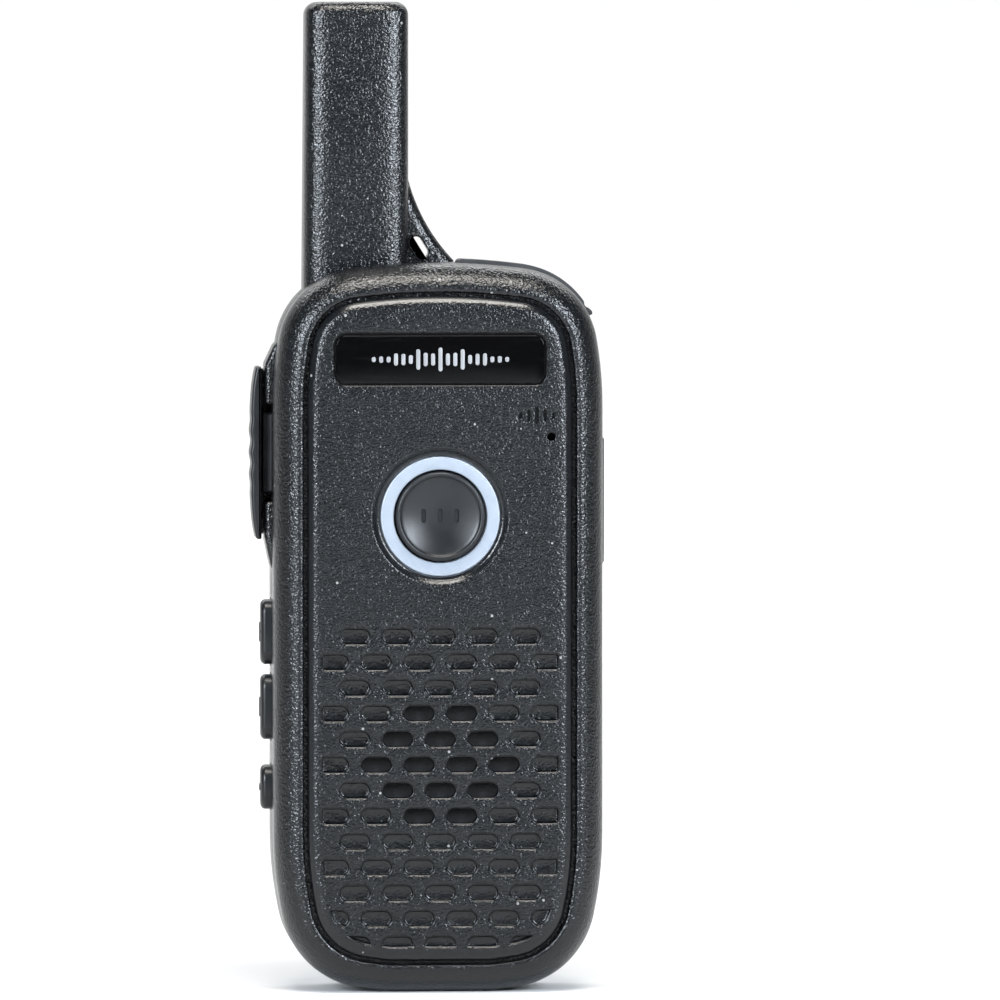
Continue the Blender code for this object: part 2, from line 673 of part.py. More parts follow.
def left_wall_cutters():
    """Openings for the side talk key's neck and for the three small keys."""
    low, high = notch_span()
    outside = -(HALF + 4 * MM)
    cutters = [box(
        "shoulder_notch", (outside, KEY_Y - KEY_DEPTH, low), (-(HALF + 0.05 * MM), KEY_Y + KEY_DEPTH, high))]
    middle = (low + high) / 2
    neck_half_z, neck_half_y = NECK_LENGTH / 2 + RUN, NECK_DEPTH / 2 + RUN
    cutters.append(box(
        "neck_hole",
        (outside, KEY_Y - neck_half_y, middle - neck_half_z),
        (-(HALF - WALL - MM), KEY_Y + neck_half_y, middle + neck_half_z)))
    for name, from_top, length, corner in SIDE_PADS:
        hole = rounded_rectangle(
            PAD_DEPTH / 2 + RUN, length / 2 + RUN, corner + RUN, 3, (KEY_Y, below_top(from_top)))
        cutters.append(prism(f"{name}_hole", "X", hole, outside, -(HALF - WALL - MM)))
    return cutters


def top_cover_outline(proud, sink, hinge_r, extra_angle):
    """(x, z) outline of the strip over the top corner, or of its seat when it is grown."""
    start, end = TOP.angle_at(TOP_COVER_X), TOP_COVER_END_ANGLE + extra_angle
    angles = [start] + [a for a in steps(TOP_CROWN_ANGLE, end, 6) if a > start]
    outer = [top_point(a, -proud) for a in reversed(angles)]
    inner = [top_point(a, sink) for a in angles]
    round_end = arc(top_cover_hinge(), hinge_r, math.pi / 2, math.pi * 1.5, 6)[1:-1]
    return round_end + inner + outer


def top_cover_hinge():
    return top_point(TOP.angle_at(TOP_COVER_X), (COVER_SINK - COVER_PROUD) / 2)


def cover_hinge_r():
    return (COVER_SINK + COVER_PROUD) / 2


def jack_cover_span():
    top = below_top(JACK_COVER_FROM_TOP)
    return top - JACK_COVER_LENGTH, top


def jack_cover_hinge():
    low, _ = jack_cover_span()
    return HALF - (COVER_SINK - COVER_PROUD) / 2, low + cover_hinge_r()


def jack_cover_outline(grow, reach):
    """(x, z) outline of the flap on the right side, round at its hinge below."""
    x, z = jack_cover_hinge()
    radius = cover_hinge_r() + grow
    _, high = jack_cover_span()
    round_end = arc((x, z), radius, math.pi, 2 * math.pi, 6)
    far_x, top_z = x + radius + reach, high + grow
    return round_end + [(far_x, z), (far_x, top_z), (x - radius, top_z)]


def jack_places():
    """(name, hole radius, z) of the two jacks, about the middle of the flap above its hinge."""
    low, high = jack_cover_span()
    middle = (low + high) / 2 + 0.4 * MM
    return [
        (name, radius, middle + (i - 0.5) * JACK_SPACING)
        for i, (name, radius) in enumerate(JACK_HOLES)
    ]


def cover_cutters():
    """Seats for the two rubber covers, and the mouths of the sockets under them."""
    half = TOP_COVER_DEPTH / 2
    middle_y = REAR_Y + half
    seat = top_cover_outline(3 * MM, COVER_SINK + SEAM, cover_hinge_r() + SEAM, math.radians(2))
    cutters = [prism("top_cover_seat", "Y", seat, REAR_Y - MM, middle_y + half + RUN)]
    usb_low, usb_high = USB_Y - USB_HEIGHT / 2, USB_Y + USB_HEIGHT / 2
    grow = 0.2 * MM
    mouth_z = top_point(TOP.angle_at(USB_X))[1]
    cutters.append(box(
        "usb_mouth",
        (USB_X - USB_WIDTH / 2 - grow, usb_low - grow, mouth_z - 2 * WALL),
        (USB_X + USB_WIDTH / 2 + grow, usb_high + grow, mouth_z + WALL)))
    low, high = JACK_COVER_Y - JACK_COVER_DEPTH / 2 - RUN, JACK_COVER_Y + JACK_COVER_DEPTH / 2 + RUN
    cutters.append(prism("jack_cover_seat", "Y", jack_cover_outline(SEAM, 3 * MM), low, high))
    inside, outside = HALF - WALL - MM, HALF + MM
    for name, radius, z in jack_places():
        mouth_r = radius + 0.5 * MM
        cutters.append(rod(f"{name}_jack_mouth", "X", mouth_r, inside, outside, 10, (JACK_COVER_Y, z)))
    return cutters


def bay_span():
    return BAY_BOTTOM, below_top(BAY_TOP_FROM_TOP)


def door_slab(name, grow, low_z, floor_y):
    """The door's dovetail section, wider at its inner face, run up from low_z to its top."""
    top = below_top(DOOR_TOP_FROM_TOP) + grow
    inner, outer = DOOR_HALF_W + DOOR_FLARE + grow, DOOR_HALF_W + grow
    far_y = BACK_Y + 4 * MM
    flare_per_y = DOOR_FLARE / DOOR_THICKNESS
    outer_far = inner - flare_per_y * (far_y - floor_y)
    mid_y = BACK_Y + MM
    outer_mid = max(inner - flare_per_y * (mid_y - floor_y), outer_far)
    section = [(inner, floor_y), (outer_mid, mid_y), (outer_mid, far_y)]
    section += [(-x, y) for x, y in reversed(section)]
    return prism(name, "Z", section, low_z, top)


def build_rear_shell():
    shell = rear_outer("rear_shell")
    join(
        shell,
        antenna_solid(),
        prism(
            "gusset_solid", "Y", gusset_outline(),
            ANTENNA_Y - GUSSET_THICKNESS / 2, ANTENNA_Y + GUSSET_THICKNESS / 2),
        shoulder_solid(),
    )
    step_y = REAR_Y + SEAL_STEP
    cavity = case_loft("rear_cavity", [
        (WALL / 2, REAR_Y - MM), (WALL / 2, step_y), (WALL, step_y),
        (WALL, CAVITY_BACK_Y - 3 * MM), (WALL + MM, CAVITY_BACK_Y)])
    cut(shell, cavity, antenna_bore(), eye_cutter())
    low, high = bay_span()
    outer_w = BAY_HALF_W + BAY_WALL
    join(shell, box(
        "bay_box",
        (-outer_w, BAY_FLOOR_Y - BAY_WALL, low - BAY_WALL),
        (outer_w, CAVITY_BACK_Y + MM, high + BAY_WALL)))
    places = boss_places()
    for number, place in enumerate(places, 1):
        join(shell, rod(
            f"rear_boss_{number}", "Y", BOSS_R, BOARD_BACK_Y + SEAM, CAVITY_BACK_Y + MM, 12, place))
    cut(
        shell,
        door_slab("door_recess", RUN, -10 * MM, DOOR_FLOOR_Y),
        box("bay", (-BAY_HALF_W, BAY_FLOOR_Y, low), (BAY_HALF_W, BACK_Y + MM, high)),
        *left_wall_cutters(),
        *cover_cutters(),
        *[
            box(
                f"contact_slot_{i + 1}",
                ((i - 1) * CONTACT_PITCH - 1.4 * MM, BAY_FLOOR_Y + 1.2 * MM, high - MM),
                ((i - 1) * CONTACT_PITCH + 1.4 * MM, BAY_FLOOR_Y + 3.8 * MM, high + BAY_WALL + MM))
            for i in range(3)
        ],
    )
    for number, place in enumerate(places, 1):
        under_door = number > 2
        seat_y = screw_seat_y(under_door)
        cut(
            shell,
            rod(f"screw_hole_{number}", "Y", SCREW_R + 0.3 * MM, BOARD_Y, BACK_Y + MM, 8, place),
            rod(f"head_seat_{number}", "Y", SCREW_HEAD_R + 0.3 * MM, seat_y, BACK_Y + MM, 12, place))
    for number, place in enumerate(clip_screw_places(), 1):
        cut(shell, rod(
            f"clip_screw_hole_{number}", "Y", SCREW_R + 0.2 * MM, CAVITY_BACK_Y - MM, BACK_Y + MM, 8, place))
    return finish(shell, "shell_plastic")


def screw_seat_y(under_door):
    """Where a case screw's head bears, below the back or below the door's recess."""
    face = DOOR_FLOOR_Y if under_door else BACK_Y
    return face - SCREW_HEAD_H - 0.2 * MM


def build_seal():
    """The gasket in the rim's inner step, between the two shells."""
    inset = WALL / 2 + 0.2 * MM
    width, low, high = 0.6 * MM, REAR_Y + 0.05 * MM, REAR_Y + SEAL_STEP - SEAM
    seal = case_loft("case_seal", [
        (inset, low), (inset, high), (inset + width, high), (inset + width, low)], looped=True)
    finish(seal, "cover_rubber")


# ---- keys on the side ------------------------------------------------------------------------
def build_side_switch(name, z, post_x, travel):
    """A side-push switch on the board's back, with its stem in a pocket."""
    stem_half, grow = 0.6 * MM, 0.15 * MM
    y = BOARD_BACK_Y + SEAM + 1.2 * MM
    stem_out = post_x + SEAM
    body_out = stem_out + 0.3 * MM + travel
    pocket_end = body_out + 2.0 * MM
    body = box(
        f"{name}_switch",
        (body_out, BOARD_BACK_Y + SEAM, z - 1.8 * MM),
        (pocket_end + 0.8 * MM, y + 1.2 * MM, z + 1.8 * MM))
    cut(body, box(
        f"{name}_pocket",
        (body_out - MM, y - stem_half - grow, z - stem_half - grow),
        (pocket_end, y + stem_half + grow, z + stem_half + grow)))
    finish(body, "chip_plastic")
    stem = box(
        f"{name}_stem",
        (stem_out, y - stem_half, z - stem_half),
        (pocket_end - travel - 0.1 * MM, y + stem_half, z + stem_half))
    finish(stem, "white_plastic")


def build_side_talk_key():
    low, high = key_span()
    middle = (low + high) / 2
    inner_x = -(HALF + SHOULDER_RISE + KEY_TRAVEL + 0.1 * MM)
    outer_x = inner_x - KEY_THICKNESS
    half = KEY_LENGTH / 2
    bulge = [(1.0, 0.8 * MM), (0.84, 0.35 * MM), (0.6, 0.08 * MM), (0.3, 0.0)]
    upper = [(outer_x + step_in, half * share) for share, step_in in bulge]
    lower = [(x, -z) for x, z in reversed(upper)]
    side = [(inner_x, half)] + upper + lower + [(inner_x, -half)]
    key = prism("side_talk_key", "Y", side, -KEY_DEPTH / 2, KEY_DEPTH / 2, (0, KEY_Y, middle))
    finish(key, "key_rubber")
    wall_in = -(HALF - WALL)
    flange_x = wall_in + RUN
    post_x = flange_x + FLANGE_THICKNESS
    neck_y, neck_z = NECK_DEPTH / 2, NECK_LENGTH / 2
    neck = rounded_rectangle(neck_y, neck_z, 0.8 * MM, 2)
    flange = rounded_rectangle(neck_y + FLANGE_DEPTH, neck_z + FLANGE_DEPTH, 0.8 * MM, 2)
    actuator = section_loft("side_talk_actuator", "X", [
        (inner_x + SEAM, neck), (flange_x, neck), (flange_x, flange), (post_x, flange),
    ], (0, KEY_Y, middle))
    finish(actuator, "key_rubber")
    build_side_switch("side_talk", middle, post_x, KEY_TRAVEL)


def build_side_pads():
    wall_in = -(HALF - WALL)
    flange_x = wall_in + RUN
    post_x = flange_x + FLANGE_THICKNESS
    out_x = -(HALF + PAD_RISE)
    for name, from_top, length, corner in SIDE_PADS:
        z = below_top(from_top)

        half_y, half_z = PAD_DEPTH / 2, length / 2
        small, medium, full = [
            rounded_rectangle(half_y - inset, half_z - inset, corner - inset)
            for inset in (0.9 * MM, 0.4 * MM, 0)
        ]
        flange = rounded_rectangle(half_y + FLANGE_DEPTH, half_z + FLANGE_LENGTH, corner)
        pad = section_loft(f"{name}_button", "X", [
            (out_x, small), (out_x + 0.25 * MM, medium), (out_x + 0.8 * MM, full),
            (flange_x, full), (flange_x, flange), (post_x, flange),
        ], (0, KEY_Y, z))
        finish(pad, "key_rubber")
        build_side_switch(name, z, post_x, PAD_TRAVEL)


# ---- rubber covers and sockets ---------------------------------------------------------------
def build_top_cover():
    half = TOP_COVER_DEPTH / 2
    middle_y = REAR_Y + half
    cover = prism(
        "top_port_cover", "Y", top_cover_outline(COVER_PROUD, COVER_SINK, cover_hinge_r(), 0),
        middle_y - half, middle_y + half)
    plug_low = top_point(TOP.angle_at(USB_X), COVER_SINK + 0.9 * MM)[1]
    join(cover, box(
        "top_cover_plug",
        (USB_X - 3.6 * MM, USB_Y - 0.9 * MM, plug_low),
        (USB_X + 3.6 * MM, USB_Y + 0.9 * MM, plug_low + 1.4 * MM)))
    finish(cover, "cover_rubber")
    socket_top = top_point(TOP.angle_at(USB_X + USB_WIDTH / 2), WALL + 0.4 * MM)[1]
    half_w, half_h = USB_WIDTH / 2, USB_HEIGHT / 2
    socket = box(
        "usb_socket", (USB_X - half_w, USB_Y - half_h, socket_top - USB_LENGTH),
        (USB_X + half_w, USB_Y + half_h, socket_top))
    rim = 0.4 * MM
    cut(socket, box(
        "usb_hollow", (USB_X - half_w + rim, USB_Y - half_h + rim, socket_top - USB_LENGTH + MM),
        (USB_X + half_w - rim, USB_Y + half_h - rim, socket_top + MM)))
    finish(socket, "bright_steel")


def build_jack_cover():
    half = JACK_COVER_DEPTH / 2
    cover = prism("jack_cover", "Y", jack_cover_outline(0, 0), JACK_COVER_Y - half, JACK_COVER_Y + half)
    plug_end, plug_root = HALF - COVER_SINK - 1.1 * MM, HALF - COVER_SINK + 0.4 * MM
    for name, radius, z in jack_places():
        plug_r = radius - 0.2 * MM
        join(cover, rod(f"{name}_jack_plug", "X", plug_r, plug_end, plug_root, 8, (JACK_COVER_Y, z)))
    finish(cover, "cover_rubber")
    low, high = jack_cover_span()
    socket_x = HALF - WALL - 0.3 * MM
    socket = box(
        "jack_socket", (socket_x - JACK_LENGTH, BOARD_BACK_Y + SEAM, low + 0.9 * MM),
        (socket_x, JACK_COVER_Y + 3.0 * MM, high - 0.3 * MM))
    for name, radius, z in jack_places():
        cut(socket, rod(
            f"{name}_jack_bore", "X", radius, socket_x - JACK_LENGTH + 2 * MM, HALF, 12, (JACK_COVER_Y, z)))
    finish(socket, "chip_plastic")


# ---- battery and its door --------------------------------------------------------------------
def build_battery_door():
    door = rear_outer("battery_door")
    combine(door, "INTERSECT", door_slab("door_shape", 0, -10 * MM, BACK_Y - DOOR_THICKNESS))
    first_z = below_top(DOOR_TOP_FROM_TOP) - 5 * MM
    for i in range(GRIP_COUNT):
        z = first_z - i * GRIP_PITCH
        cut(door, box(
            f"grip_{i + 1}",
            (-GRIP_HALF_LENGTH, BACK_Y - 0.5 * MM, z - GRIP_WIDTH / 2),
            (GRIP_HALF_LENGTH, BACK_Y + MM, z + GRIP_WIDTH / 2)))
    finish(door, "shell_plastic")


def build_battery():
    low, high = bay_span()
    end_gap = 0.8 * MM
    half_w = BAY_HALF_W - SEAM
    middle = (low + high) / 2
    half_l = (high - low) / 2 - end_gap
    shape = rounded_rectangle(half_w, half_l, 2 * MM, 2, (0, middle))
    pack = prism("battery_pack", "Y", shape, BAY_FLOOR_Y + SEAM, BAY_FLOOR_Y + BATTERY_THICKNESS)
    finish(pack, "battery_wrap")
    y = BAY_FLOOR_Y + 2.5 * MM
    top = high + BAY_WALL + 2.2 * MM
    for i in range(3):
        x = (i - 1) * CONTACT_PITCH
        contact = box(
            f"battery_contact_{i + 1}",
            (x - MM, y - 0.15 * MM, high - end_gap + SEAM), (x + MM, y + 0.15 * MM, top))
        join(contact, box(
            f"contact_foot_{i + 1}", (x - MM, BOARD_BACK_Y + SEAM, top - 0.6 * MM), (x + MM, y, top)))
        finish(contact, "gold")


# ---- belt clip -------------------------------------------------------------------------------
def clip_pivot():
    return BACK_Y + SEAM + CLIP_PIVOT_OUT, below_top(CLIP_PIVOT_FROM_TOP)


def clip_screw_places():
    _, z = clip_pivot()
    return [(side * 5.2 * MM, z - 8.2 * MM) for side in (-1, 1)]


def build_belt_clip():
    y, z = clip_pivot()
    base_y = BACK_Y + SEAM
    plate_middle = (0, z + (BRACKET_UP - BRACKET_DOWN) / 2)
    plate = rounded_rectangle(
        BRACKET_HALF_W, (BRACKET_UP + BRACKET_DOWN) / 2, 1.5 * MM, 2, plate_middle)
    bracket = prism("belt_clip_bracket", "Y", plate, base_y, base_y + BRACKET_THICKNESS)
    ear = [(base_y + 0.6 * MM, z - 4.4 * MM)]
    ear += arc((y, z), EAR_R, -math.pi / 3, math.pi * 0.6, 6)
    ear += [(base_y + 0.6 * MM, z + 4.4 * MM)]
    for side, name in ((-1, "left"), (1, "right")):
        inner, outer = side * (BRACKET_HALF_W - EAR_THICKNESS), side * (BRACKET_HALF_W - 0.05 * MM)
        join(bracket, prism(f"{name}_ear", "X", ear, min(inner, outer), max(inner, outer)))
    cut(bracket, rod(
        "bracket_pin_hole", "X", PIN_R + 0.05 * MM, -BRACKET_HALF_W - MM, BRACKET_HALF_W + MM, 12, (y, z)))
    hole_r, seat_r, seat_y, out_y = SCREW_R + 0.2 * MM, SCREW_HEAD_R + 0.2 * MM, base_y + 0.7 * MM, base_y + 4 * MM
    for number, place in enumerate(clip_screw_places(), 1):
        cut(
            bracket,
            rod(f"bracket_hole_{number}", "Y", hole_r, base_y - MM, out_y, 8, place),
            rod(f"bracket_seat_{number}", "Y", seat_r, seat_y, out_y, 12, place))
    finish(bracket, "shell_plastic")
    build_clip_lever(y, z)
    pin = rod("belt_clip_pin", "X", PIN_R, -BRACKET_HALF_W + 0.4 * MM, BRACKET_HALF_W - 0.4 * MM, 12, (y, z))
    finish(pin, "bright_steel")
    build_clip_spring(y, z)


def clip_line(y, z):
    """The lever's inner face as (y, z), from the thumb end down to the curled tip."""
    inner = y + 2.0 * MM
    return [
        (inner - 0.3 * MM, z + CLIP_UP),
        (inner, z + 3 * MM),
        (inner, z - 4 * MM),
        (inner - 0.5 * MM, z - CLIP_DOWN * 0.55),
        (inner - 1.1 * MM, z - CLIP_DOWN + 7.0 * MM),
        (BACK_Y + CLIP_TIP_GAP + 0.6 * MM, z - CLIP_DOWN + 3.4 * MM),
        (BACK_Y + CLIP_TIP_GAP, z - CLIP_DOWN + 2.2 * MM),
        (BACK_Y + CLIP_TIP_GAP + 1.3 * MM, z - CLIP_DOWN),
    ]


def clip_outer_line(y, z):
    """The lever's outer face, a wall's thickness behind the inner one."""
    outer = y + 2.0 * MM + CLIP_THICKNESS
    return [
        (outer - 0.1 * MM, z + CLIP_UP),
        (outer + 0.2 * MM, z + 3 * MM),
        (outer + 0.2 * MM, z - 4 * MM),
        (outer - 0.3 * MM, z - CLIP_DOWN * 0.55),
        (outer - 0.9 * MM, z - CLIP_DOWN + 6.0 * MM),
        (BACK_Y + CLIP_TIP_GAP + 2.9 * MM, z - CLIP_DOWN + 1.8 * MM),
    ]


def build_clip_lever(y, z):
    side = clip_line(y, z) + clip_outer_line(y, z)[::-1]
    lever = prism("belt_clip_lever", "X", side, -CLIP_HALF_W, CLIP_HALF_W)
    lug_r = 2.3 * MM
    for sign, name in ((-1, "left"), (1, "right")):
        inner, outer = sign * (CLIP_HALF_W - 2.4 * MM), sign * (CLIP_HALF_W - 0.05 * MM)
        lug = [(y + 3 * MM, z - lug_r)]
        lug += arc((y, z), lug_r, 1.5 * math.pi, 0.5 * math.pi, 6)
        lug += [(y + 3 * MM, z + lug_r)]
        join(lever, prism(f"{name}_lug", "X", lug, min(inner, outer), max(inner, outer)))
    reach = CLIP_HALF_W + MM
    cut(lever, rod("lever_pin_hole", "X", PIN_R + 0.06 * MM, -reach, reach, 12, (y, z)))
    finish(lever, "shell_plastic")


def build_clip_spring(y, z):
    """A torsion spring on the pin: one leg on the bracket, one behind the lever's thumb end."""
    wire_r, coil_r, turns, per_turn = 0.3 * MM, PIN_R + 0.6 * MM, 4, 9
    half = 2.6 * MM
    base = BACK_Y + SEAM + BRACKET_THICKNESS + wire_r + 0.1 * MM
    total = turns * per_turn
    start = math.pi
    coil = []
    for i in range(total + 1):
        share = i / total
        a = start + 2 * math.pi * (turns + 0.5) * share
        coil.append((-half + 2 * half * share, y + coil_r * math.cos(a), z + coil_r * math.sin(a)))
    first_leg = [(-half, base, z - 5.2 * MM), (-half, base, z - 1.6 * MM)]
    last_leg = [(half, y + coil_r, z + 2.6 * MM), (half, y + coil_r, z + 5.0 * MM)]
    spring = tube("belt_clip_spring", first_leg + coil + last_leg, wire_r)
    spring.data.materials.append(material_named("bright_steel"))


# ---- inside ----------------------------------------------------------------------------------
def build_board():
    shape = case_outline(BOARD_INSET)
    board = prism("main_board", "Y", shape, BOARD_Y, BOARD_BACK_Y)
    for number, place in enumerate(boss_places(), 1):
        cut(board, rod(
            f"board_hole_{number}", "Y", SCREW_R + 0.3 * MM, BOARD_Y - MM, BOARD_BACK_Y + MM, 8, place))
    finish(board, "circuit_board")
    _, bay_top = bay_span()
    back = BOARD_BACK_Y + SEAM
    shield_low = bay_top + BAY_WALL + 5.2 * MM
    shield = box(
        "rf_shield", (-HALF + 10 * MM, back, shield_low), (4 * MM, back + 2.6 * MM, shield_low + 15 * MM))
    finish(shield, "bright_steel")
    chip_z = SPEAKER_Z + 14 * MM
    chip = box("processor", (-5 * MM, back, chip_z), (5 * MM, back + 1.2 * MM, chip_z + 10 * MM))
    finish(chip, "chip_plastic")
    for side, name in ((-1, "left"), (1, "right")):
        x = side * (RING_INNER_R + RING_WIDTH / 2)
        led = box(
            f"{name}_led", (x - 0.8 * MM, BOARD_Y - SEAM - 0.8 * MM, TALK_Z - 0.6 * MM),
            (x + 0.8 * MM, BOARD_Y - SEAM, TALK_Z + 0.6 * MM))
        finish(led, "white_plastic")


def build_speaker():
    place = (0, 0, SPEAKER_Z)
    felt_front = PANEL_BACK_Y + SEAM
    felt_r, felt_back = SPEAKER_R - MM, felt_front + 0.3 * MM
    felt = turned("speaker_felt", [(felt_r, felt_front), (felt_r, felt_back)], 24, place)
    finish(felt, "felt")
    rim_front = felt_front + 0.6 * MM
    frame = turned_ring("speaker_frame", [
        (SPEAKER_R - 1.6 * MM, rim_front),
        (SPEAKER_R, rim_front),
        (SPEAKER_R, rim_front + MM),
        (0.62 * SPEAKER_R, rim_front + 2.6 * MM),
        (0.54 * SPEAKER_R, rim_front + 2.6 * MM),
        (0.54 * SPEAKER_R, rim_front + 2.0 * MM),
        (SPEAKER_R - 1.6 * MM, rim_front + 0.6 * MM),
    ], 24, place)
    finish(frame, "bright_steel")
    cone_out = SPEAKER_R - 1.9 * MM
    cone = turned("speaker_cone", [
        (0.25 * SPEAKER_R, rim_front + 0.3 * MM),
        (0.42 * SPEAKER_R, rim_front + 1.2 * MM),
        (cone_out, rim_front + 0.1 * MM),
        (cone_out, rim_front + 0.35 * MM),
        (0.42 * SPEAKER_R, rim_front + 1.6 * MM),
        (0.2 * SPEAKER_R, rim_front + 1.6 * MM),
    ], 24, place)
    finish(cone, "paper_cone")
    magnet = turned("speaker_magnet", [
        (0.5 * SPEAKER_R, rim_front + 2.0 * MM), (0.5 * SPEAKER_R, BOARD_Y - SEAM)], 24, place)
    finish(magnet, "ferrite")


def build_microphone():
    z = below_top(MIC_FROM_TOP)
    front = PANEL_BACK_Y + SEAM
    inner_r, outer_r = MIC_BOOT_R - 0.7 * MM, MIC_BOOT_R
    boot = turned_ring("mic_boot", [
        (inner_r, front), (outer_r, front), (outer_r, front + 2.6 * MM), (inner_r, front + 2.6 * MM)],
        12, (MIC_X, 0, z))
    finish(boot, "cover_rubber")
    capsule_r = inner_r - 0.2 * MM
    capsule = turned(
        "microphone", [(capsule_r, front + 0.4 * MM), (capsule_r, front + 2.4 * MM)], 12, (MIC_X, 0, z))
    finish(capsule, "bright_steel")


def build_aerial():
    coil_top = antenna_top() - ANTENNA_WALL - 3 * MM
    coil_bottom = coil_top - COIL_TURNS * COIL_PITCH
    per_turn = 10
    total = COIL_TURNS * per_turn
    points = []
    for i in range(total + 1):
        a = 2 * math.pi * i / per_turn
        z = coil_bottom + COIL_PITCH * i / per_turn
        points.append((ANTENNA_X + COIL_R * math.cos(a), ANTENNA_Y + COIL_R * math.sin(a), z))
    coil = tube("aerial_coil", points, COIL_WIRE_R)
    coil.data.materials.append(material_named("copper"))
    core_bottom = below_top(1.0 * MM)
    core_r = COIL_R - COIL_WIRE_R - 0.4 * MM
    core = rod("aerial_core", "Z", core_r, core_bottom, coil_top + MM, 10, (ANTENNA_X, ANTENNA_Y))
    finish(core, "white_plastic")
    feed_top = core_bottom - SEAM
    feed = box(
        "aerial_feed", (ANTENNA_X - 1.2 * MM, ANTENNA_Y - 0.2 * MM, feed_top - 7 * MM),
        (ANTENNA_X + 1.2 * MM, ANTENNA_Y + 0.2 * MM, feed_top))
    join(feed, box(
        "feed_foot", (ANTENNA_X - 1.2 * MM, BOARD_BACK_Y + SEAM, feed_top - 7 * MM),
        (ANTENNA_X + 1.2 * MM, ANTENNA_Y, feed_top - 6.4 * MM)))
    finish(feed, "gold")


def screw(name, place, head_y, length):
    """A pan-head screw driven forwards from the back: the head bears at head_y."""
    obj = turned(name, [
        (SCREW_R, head_y - length), (SCREW_R, head_y),
        (SCREW_HEAD_R, head_y), (SCREW_HEAD_R, head_y + 0.7 * SCREW_HEAD_H),
        (0.7 * SCREW_HEAD_R, head_y + SCREW_HEAD_H),
    ], 10, (place[0], 0, place[1]))
    finish(obj, "bright_steel")


def build_screws():
    front_end = LEDGE_Y + LEDGE_THICKNESS / 2 + 1.6 * MM
    for number, place in enumerate(boss_places(), 1):
        head_y = screw_seat_y(number > 2) + 0.05 * MM
        screw(f"case_screw_{number}", place, head_y, head_y - front_end)
    head_y = BACK_Y + SEAM + 0.75 * MM
    for number, place in enumerate(clip_screw_places(), 1):
        screw(f"clip_screw_{number}", place, head_y, 4.2 * MM)


def main():
    for obj in list(bpy.data.objects):
        bpy.data.objects.remove(obj)
    build_front_shell()
    build_front_panel()
    build_front_talk_button()
    build_rear_shell()
    build_seal()
    build_side_talk_key()
    build_side_pads()
    build_top_cover()
    build_jack_cover()
    build_battery_door()
    build_battery()
    build_belt_clip()
    build_board()
    build_speaker()
    build_microphone()
    build_aerial()
    build_screws()


main()
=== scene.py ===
"""Looks of a compact handheld two-way radio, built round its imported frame.

Frame: metres, +Z up along the antenna, the front face towards -Y, +X to the right as the front is
seen, the origin at the middle of the flat foot. Shapes are worked out in millimetres and brought to
metres when their mesh is made.
"""

from __future__ import annotations

import logging
import math
from collections.abc import Callable, Mapping, Sequence
from dataclasses import dataclass
from enum import Enum

import bmesh
import bpy
import numpy as np
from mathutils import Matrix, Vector
from mathutils.geometry import delaunay_2d_cdt


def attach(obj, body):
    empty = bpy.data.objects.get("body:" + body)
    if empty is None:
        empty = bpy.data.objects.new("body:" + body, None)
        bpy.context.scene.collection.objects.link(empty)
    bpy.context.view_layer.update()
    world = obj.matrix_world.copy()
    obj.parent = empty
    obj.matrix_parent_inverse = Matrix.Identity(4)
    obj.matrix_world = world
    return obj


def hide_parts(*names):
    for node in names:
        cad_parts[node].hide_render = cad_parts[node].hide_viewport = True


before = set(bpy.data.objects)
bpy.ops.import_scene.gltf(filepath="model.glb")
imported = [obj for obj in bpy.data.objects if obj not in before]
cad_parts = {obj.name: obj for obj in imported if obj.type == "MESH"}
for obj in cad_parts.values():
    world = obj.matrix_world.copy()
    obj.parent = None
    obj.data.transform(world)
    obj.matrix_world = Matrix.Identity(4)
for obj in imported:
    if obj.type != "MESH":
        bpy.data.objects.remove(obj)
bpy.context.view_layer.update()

LOG = logging.getLogger("radio")
Array = np.ndarray
MM = 0.001
QUARTER = math.pi / 2


# ---- outlines ----
class Axis(Enum):
    """The axis that a section is carried along."""

    X = 0
    Y = 1
    Z = 2


def unit(vectors: Array) -> Array:
    """Vectors brought to length one, along their last axis."""
    return vectors / np.maximum(np.linalg.norm(vectors, axis=-1, keepdims=True), 1e-12)


def columns(*parts: Array) -> Array:
    """Coordinates set side by side along a new last axis."""
    return np.stack(parts, axis=-1)


def arc(centre: Sequence[float], radius: float, start: float, end: float, count: int) -> Array:
    """Points round part of a circle.

    Args:
        centre: Middle of the circle, in the section's two coordinates.
        radius: Radius.
        start: First angle, in radians.
        end: Last angle, in radians.
        count: Number of steps between them.

    Returns:
        Array of shape (count + 1, 2).
    """
    turn = np.linspace(start, end, count + 1)
    return np.asarray(centre) + radius * columns(np.cos(turn), np.sin(turn))


def rounded_box(
    half_a: float, half_b: float, corner: float, centre: Sequence[float] = (0.0, 0.0), segments: int = 8
) -> Array:
    """A rectangle whose four corners are quarter circles, anticlockwise.

    Args:
        half_a: Half of its first side.
        half_b: Half of its second side.
        corner: Corner radius.
        centre: Its middle.
        segments: Steps in each corner.

    Returns:
        Array of shape (4 * (segments + 1), 2).
    """
    signs = np.array([(1, 1), (-1, 1), (-1, -1), (1, -1)], float)
    turn = QUARTER * np.arange(4)[:, None] + np.linspace(0, QUARTER, segments + 1)
    middles = signs * (half_a - corner, half_b - corner)
    points = middles[:, None, :] + corner * columns(np.cos(turn), np.sin(turn))
    return np.asarray(centre) + points.reshape(-1, 2)


def circle(radius: float, centre: Sequence[float] = (0.0, 0.0), segments: int = 64) -> Array:
    """A circle, anticlockwise, its last point short of its first."""
    return arc(centre, radius, 0, 2 * math.pi * (1 - 1 / segments), segments - 1)


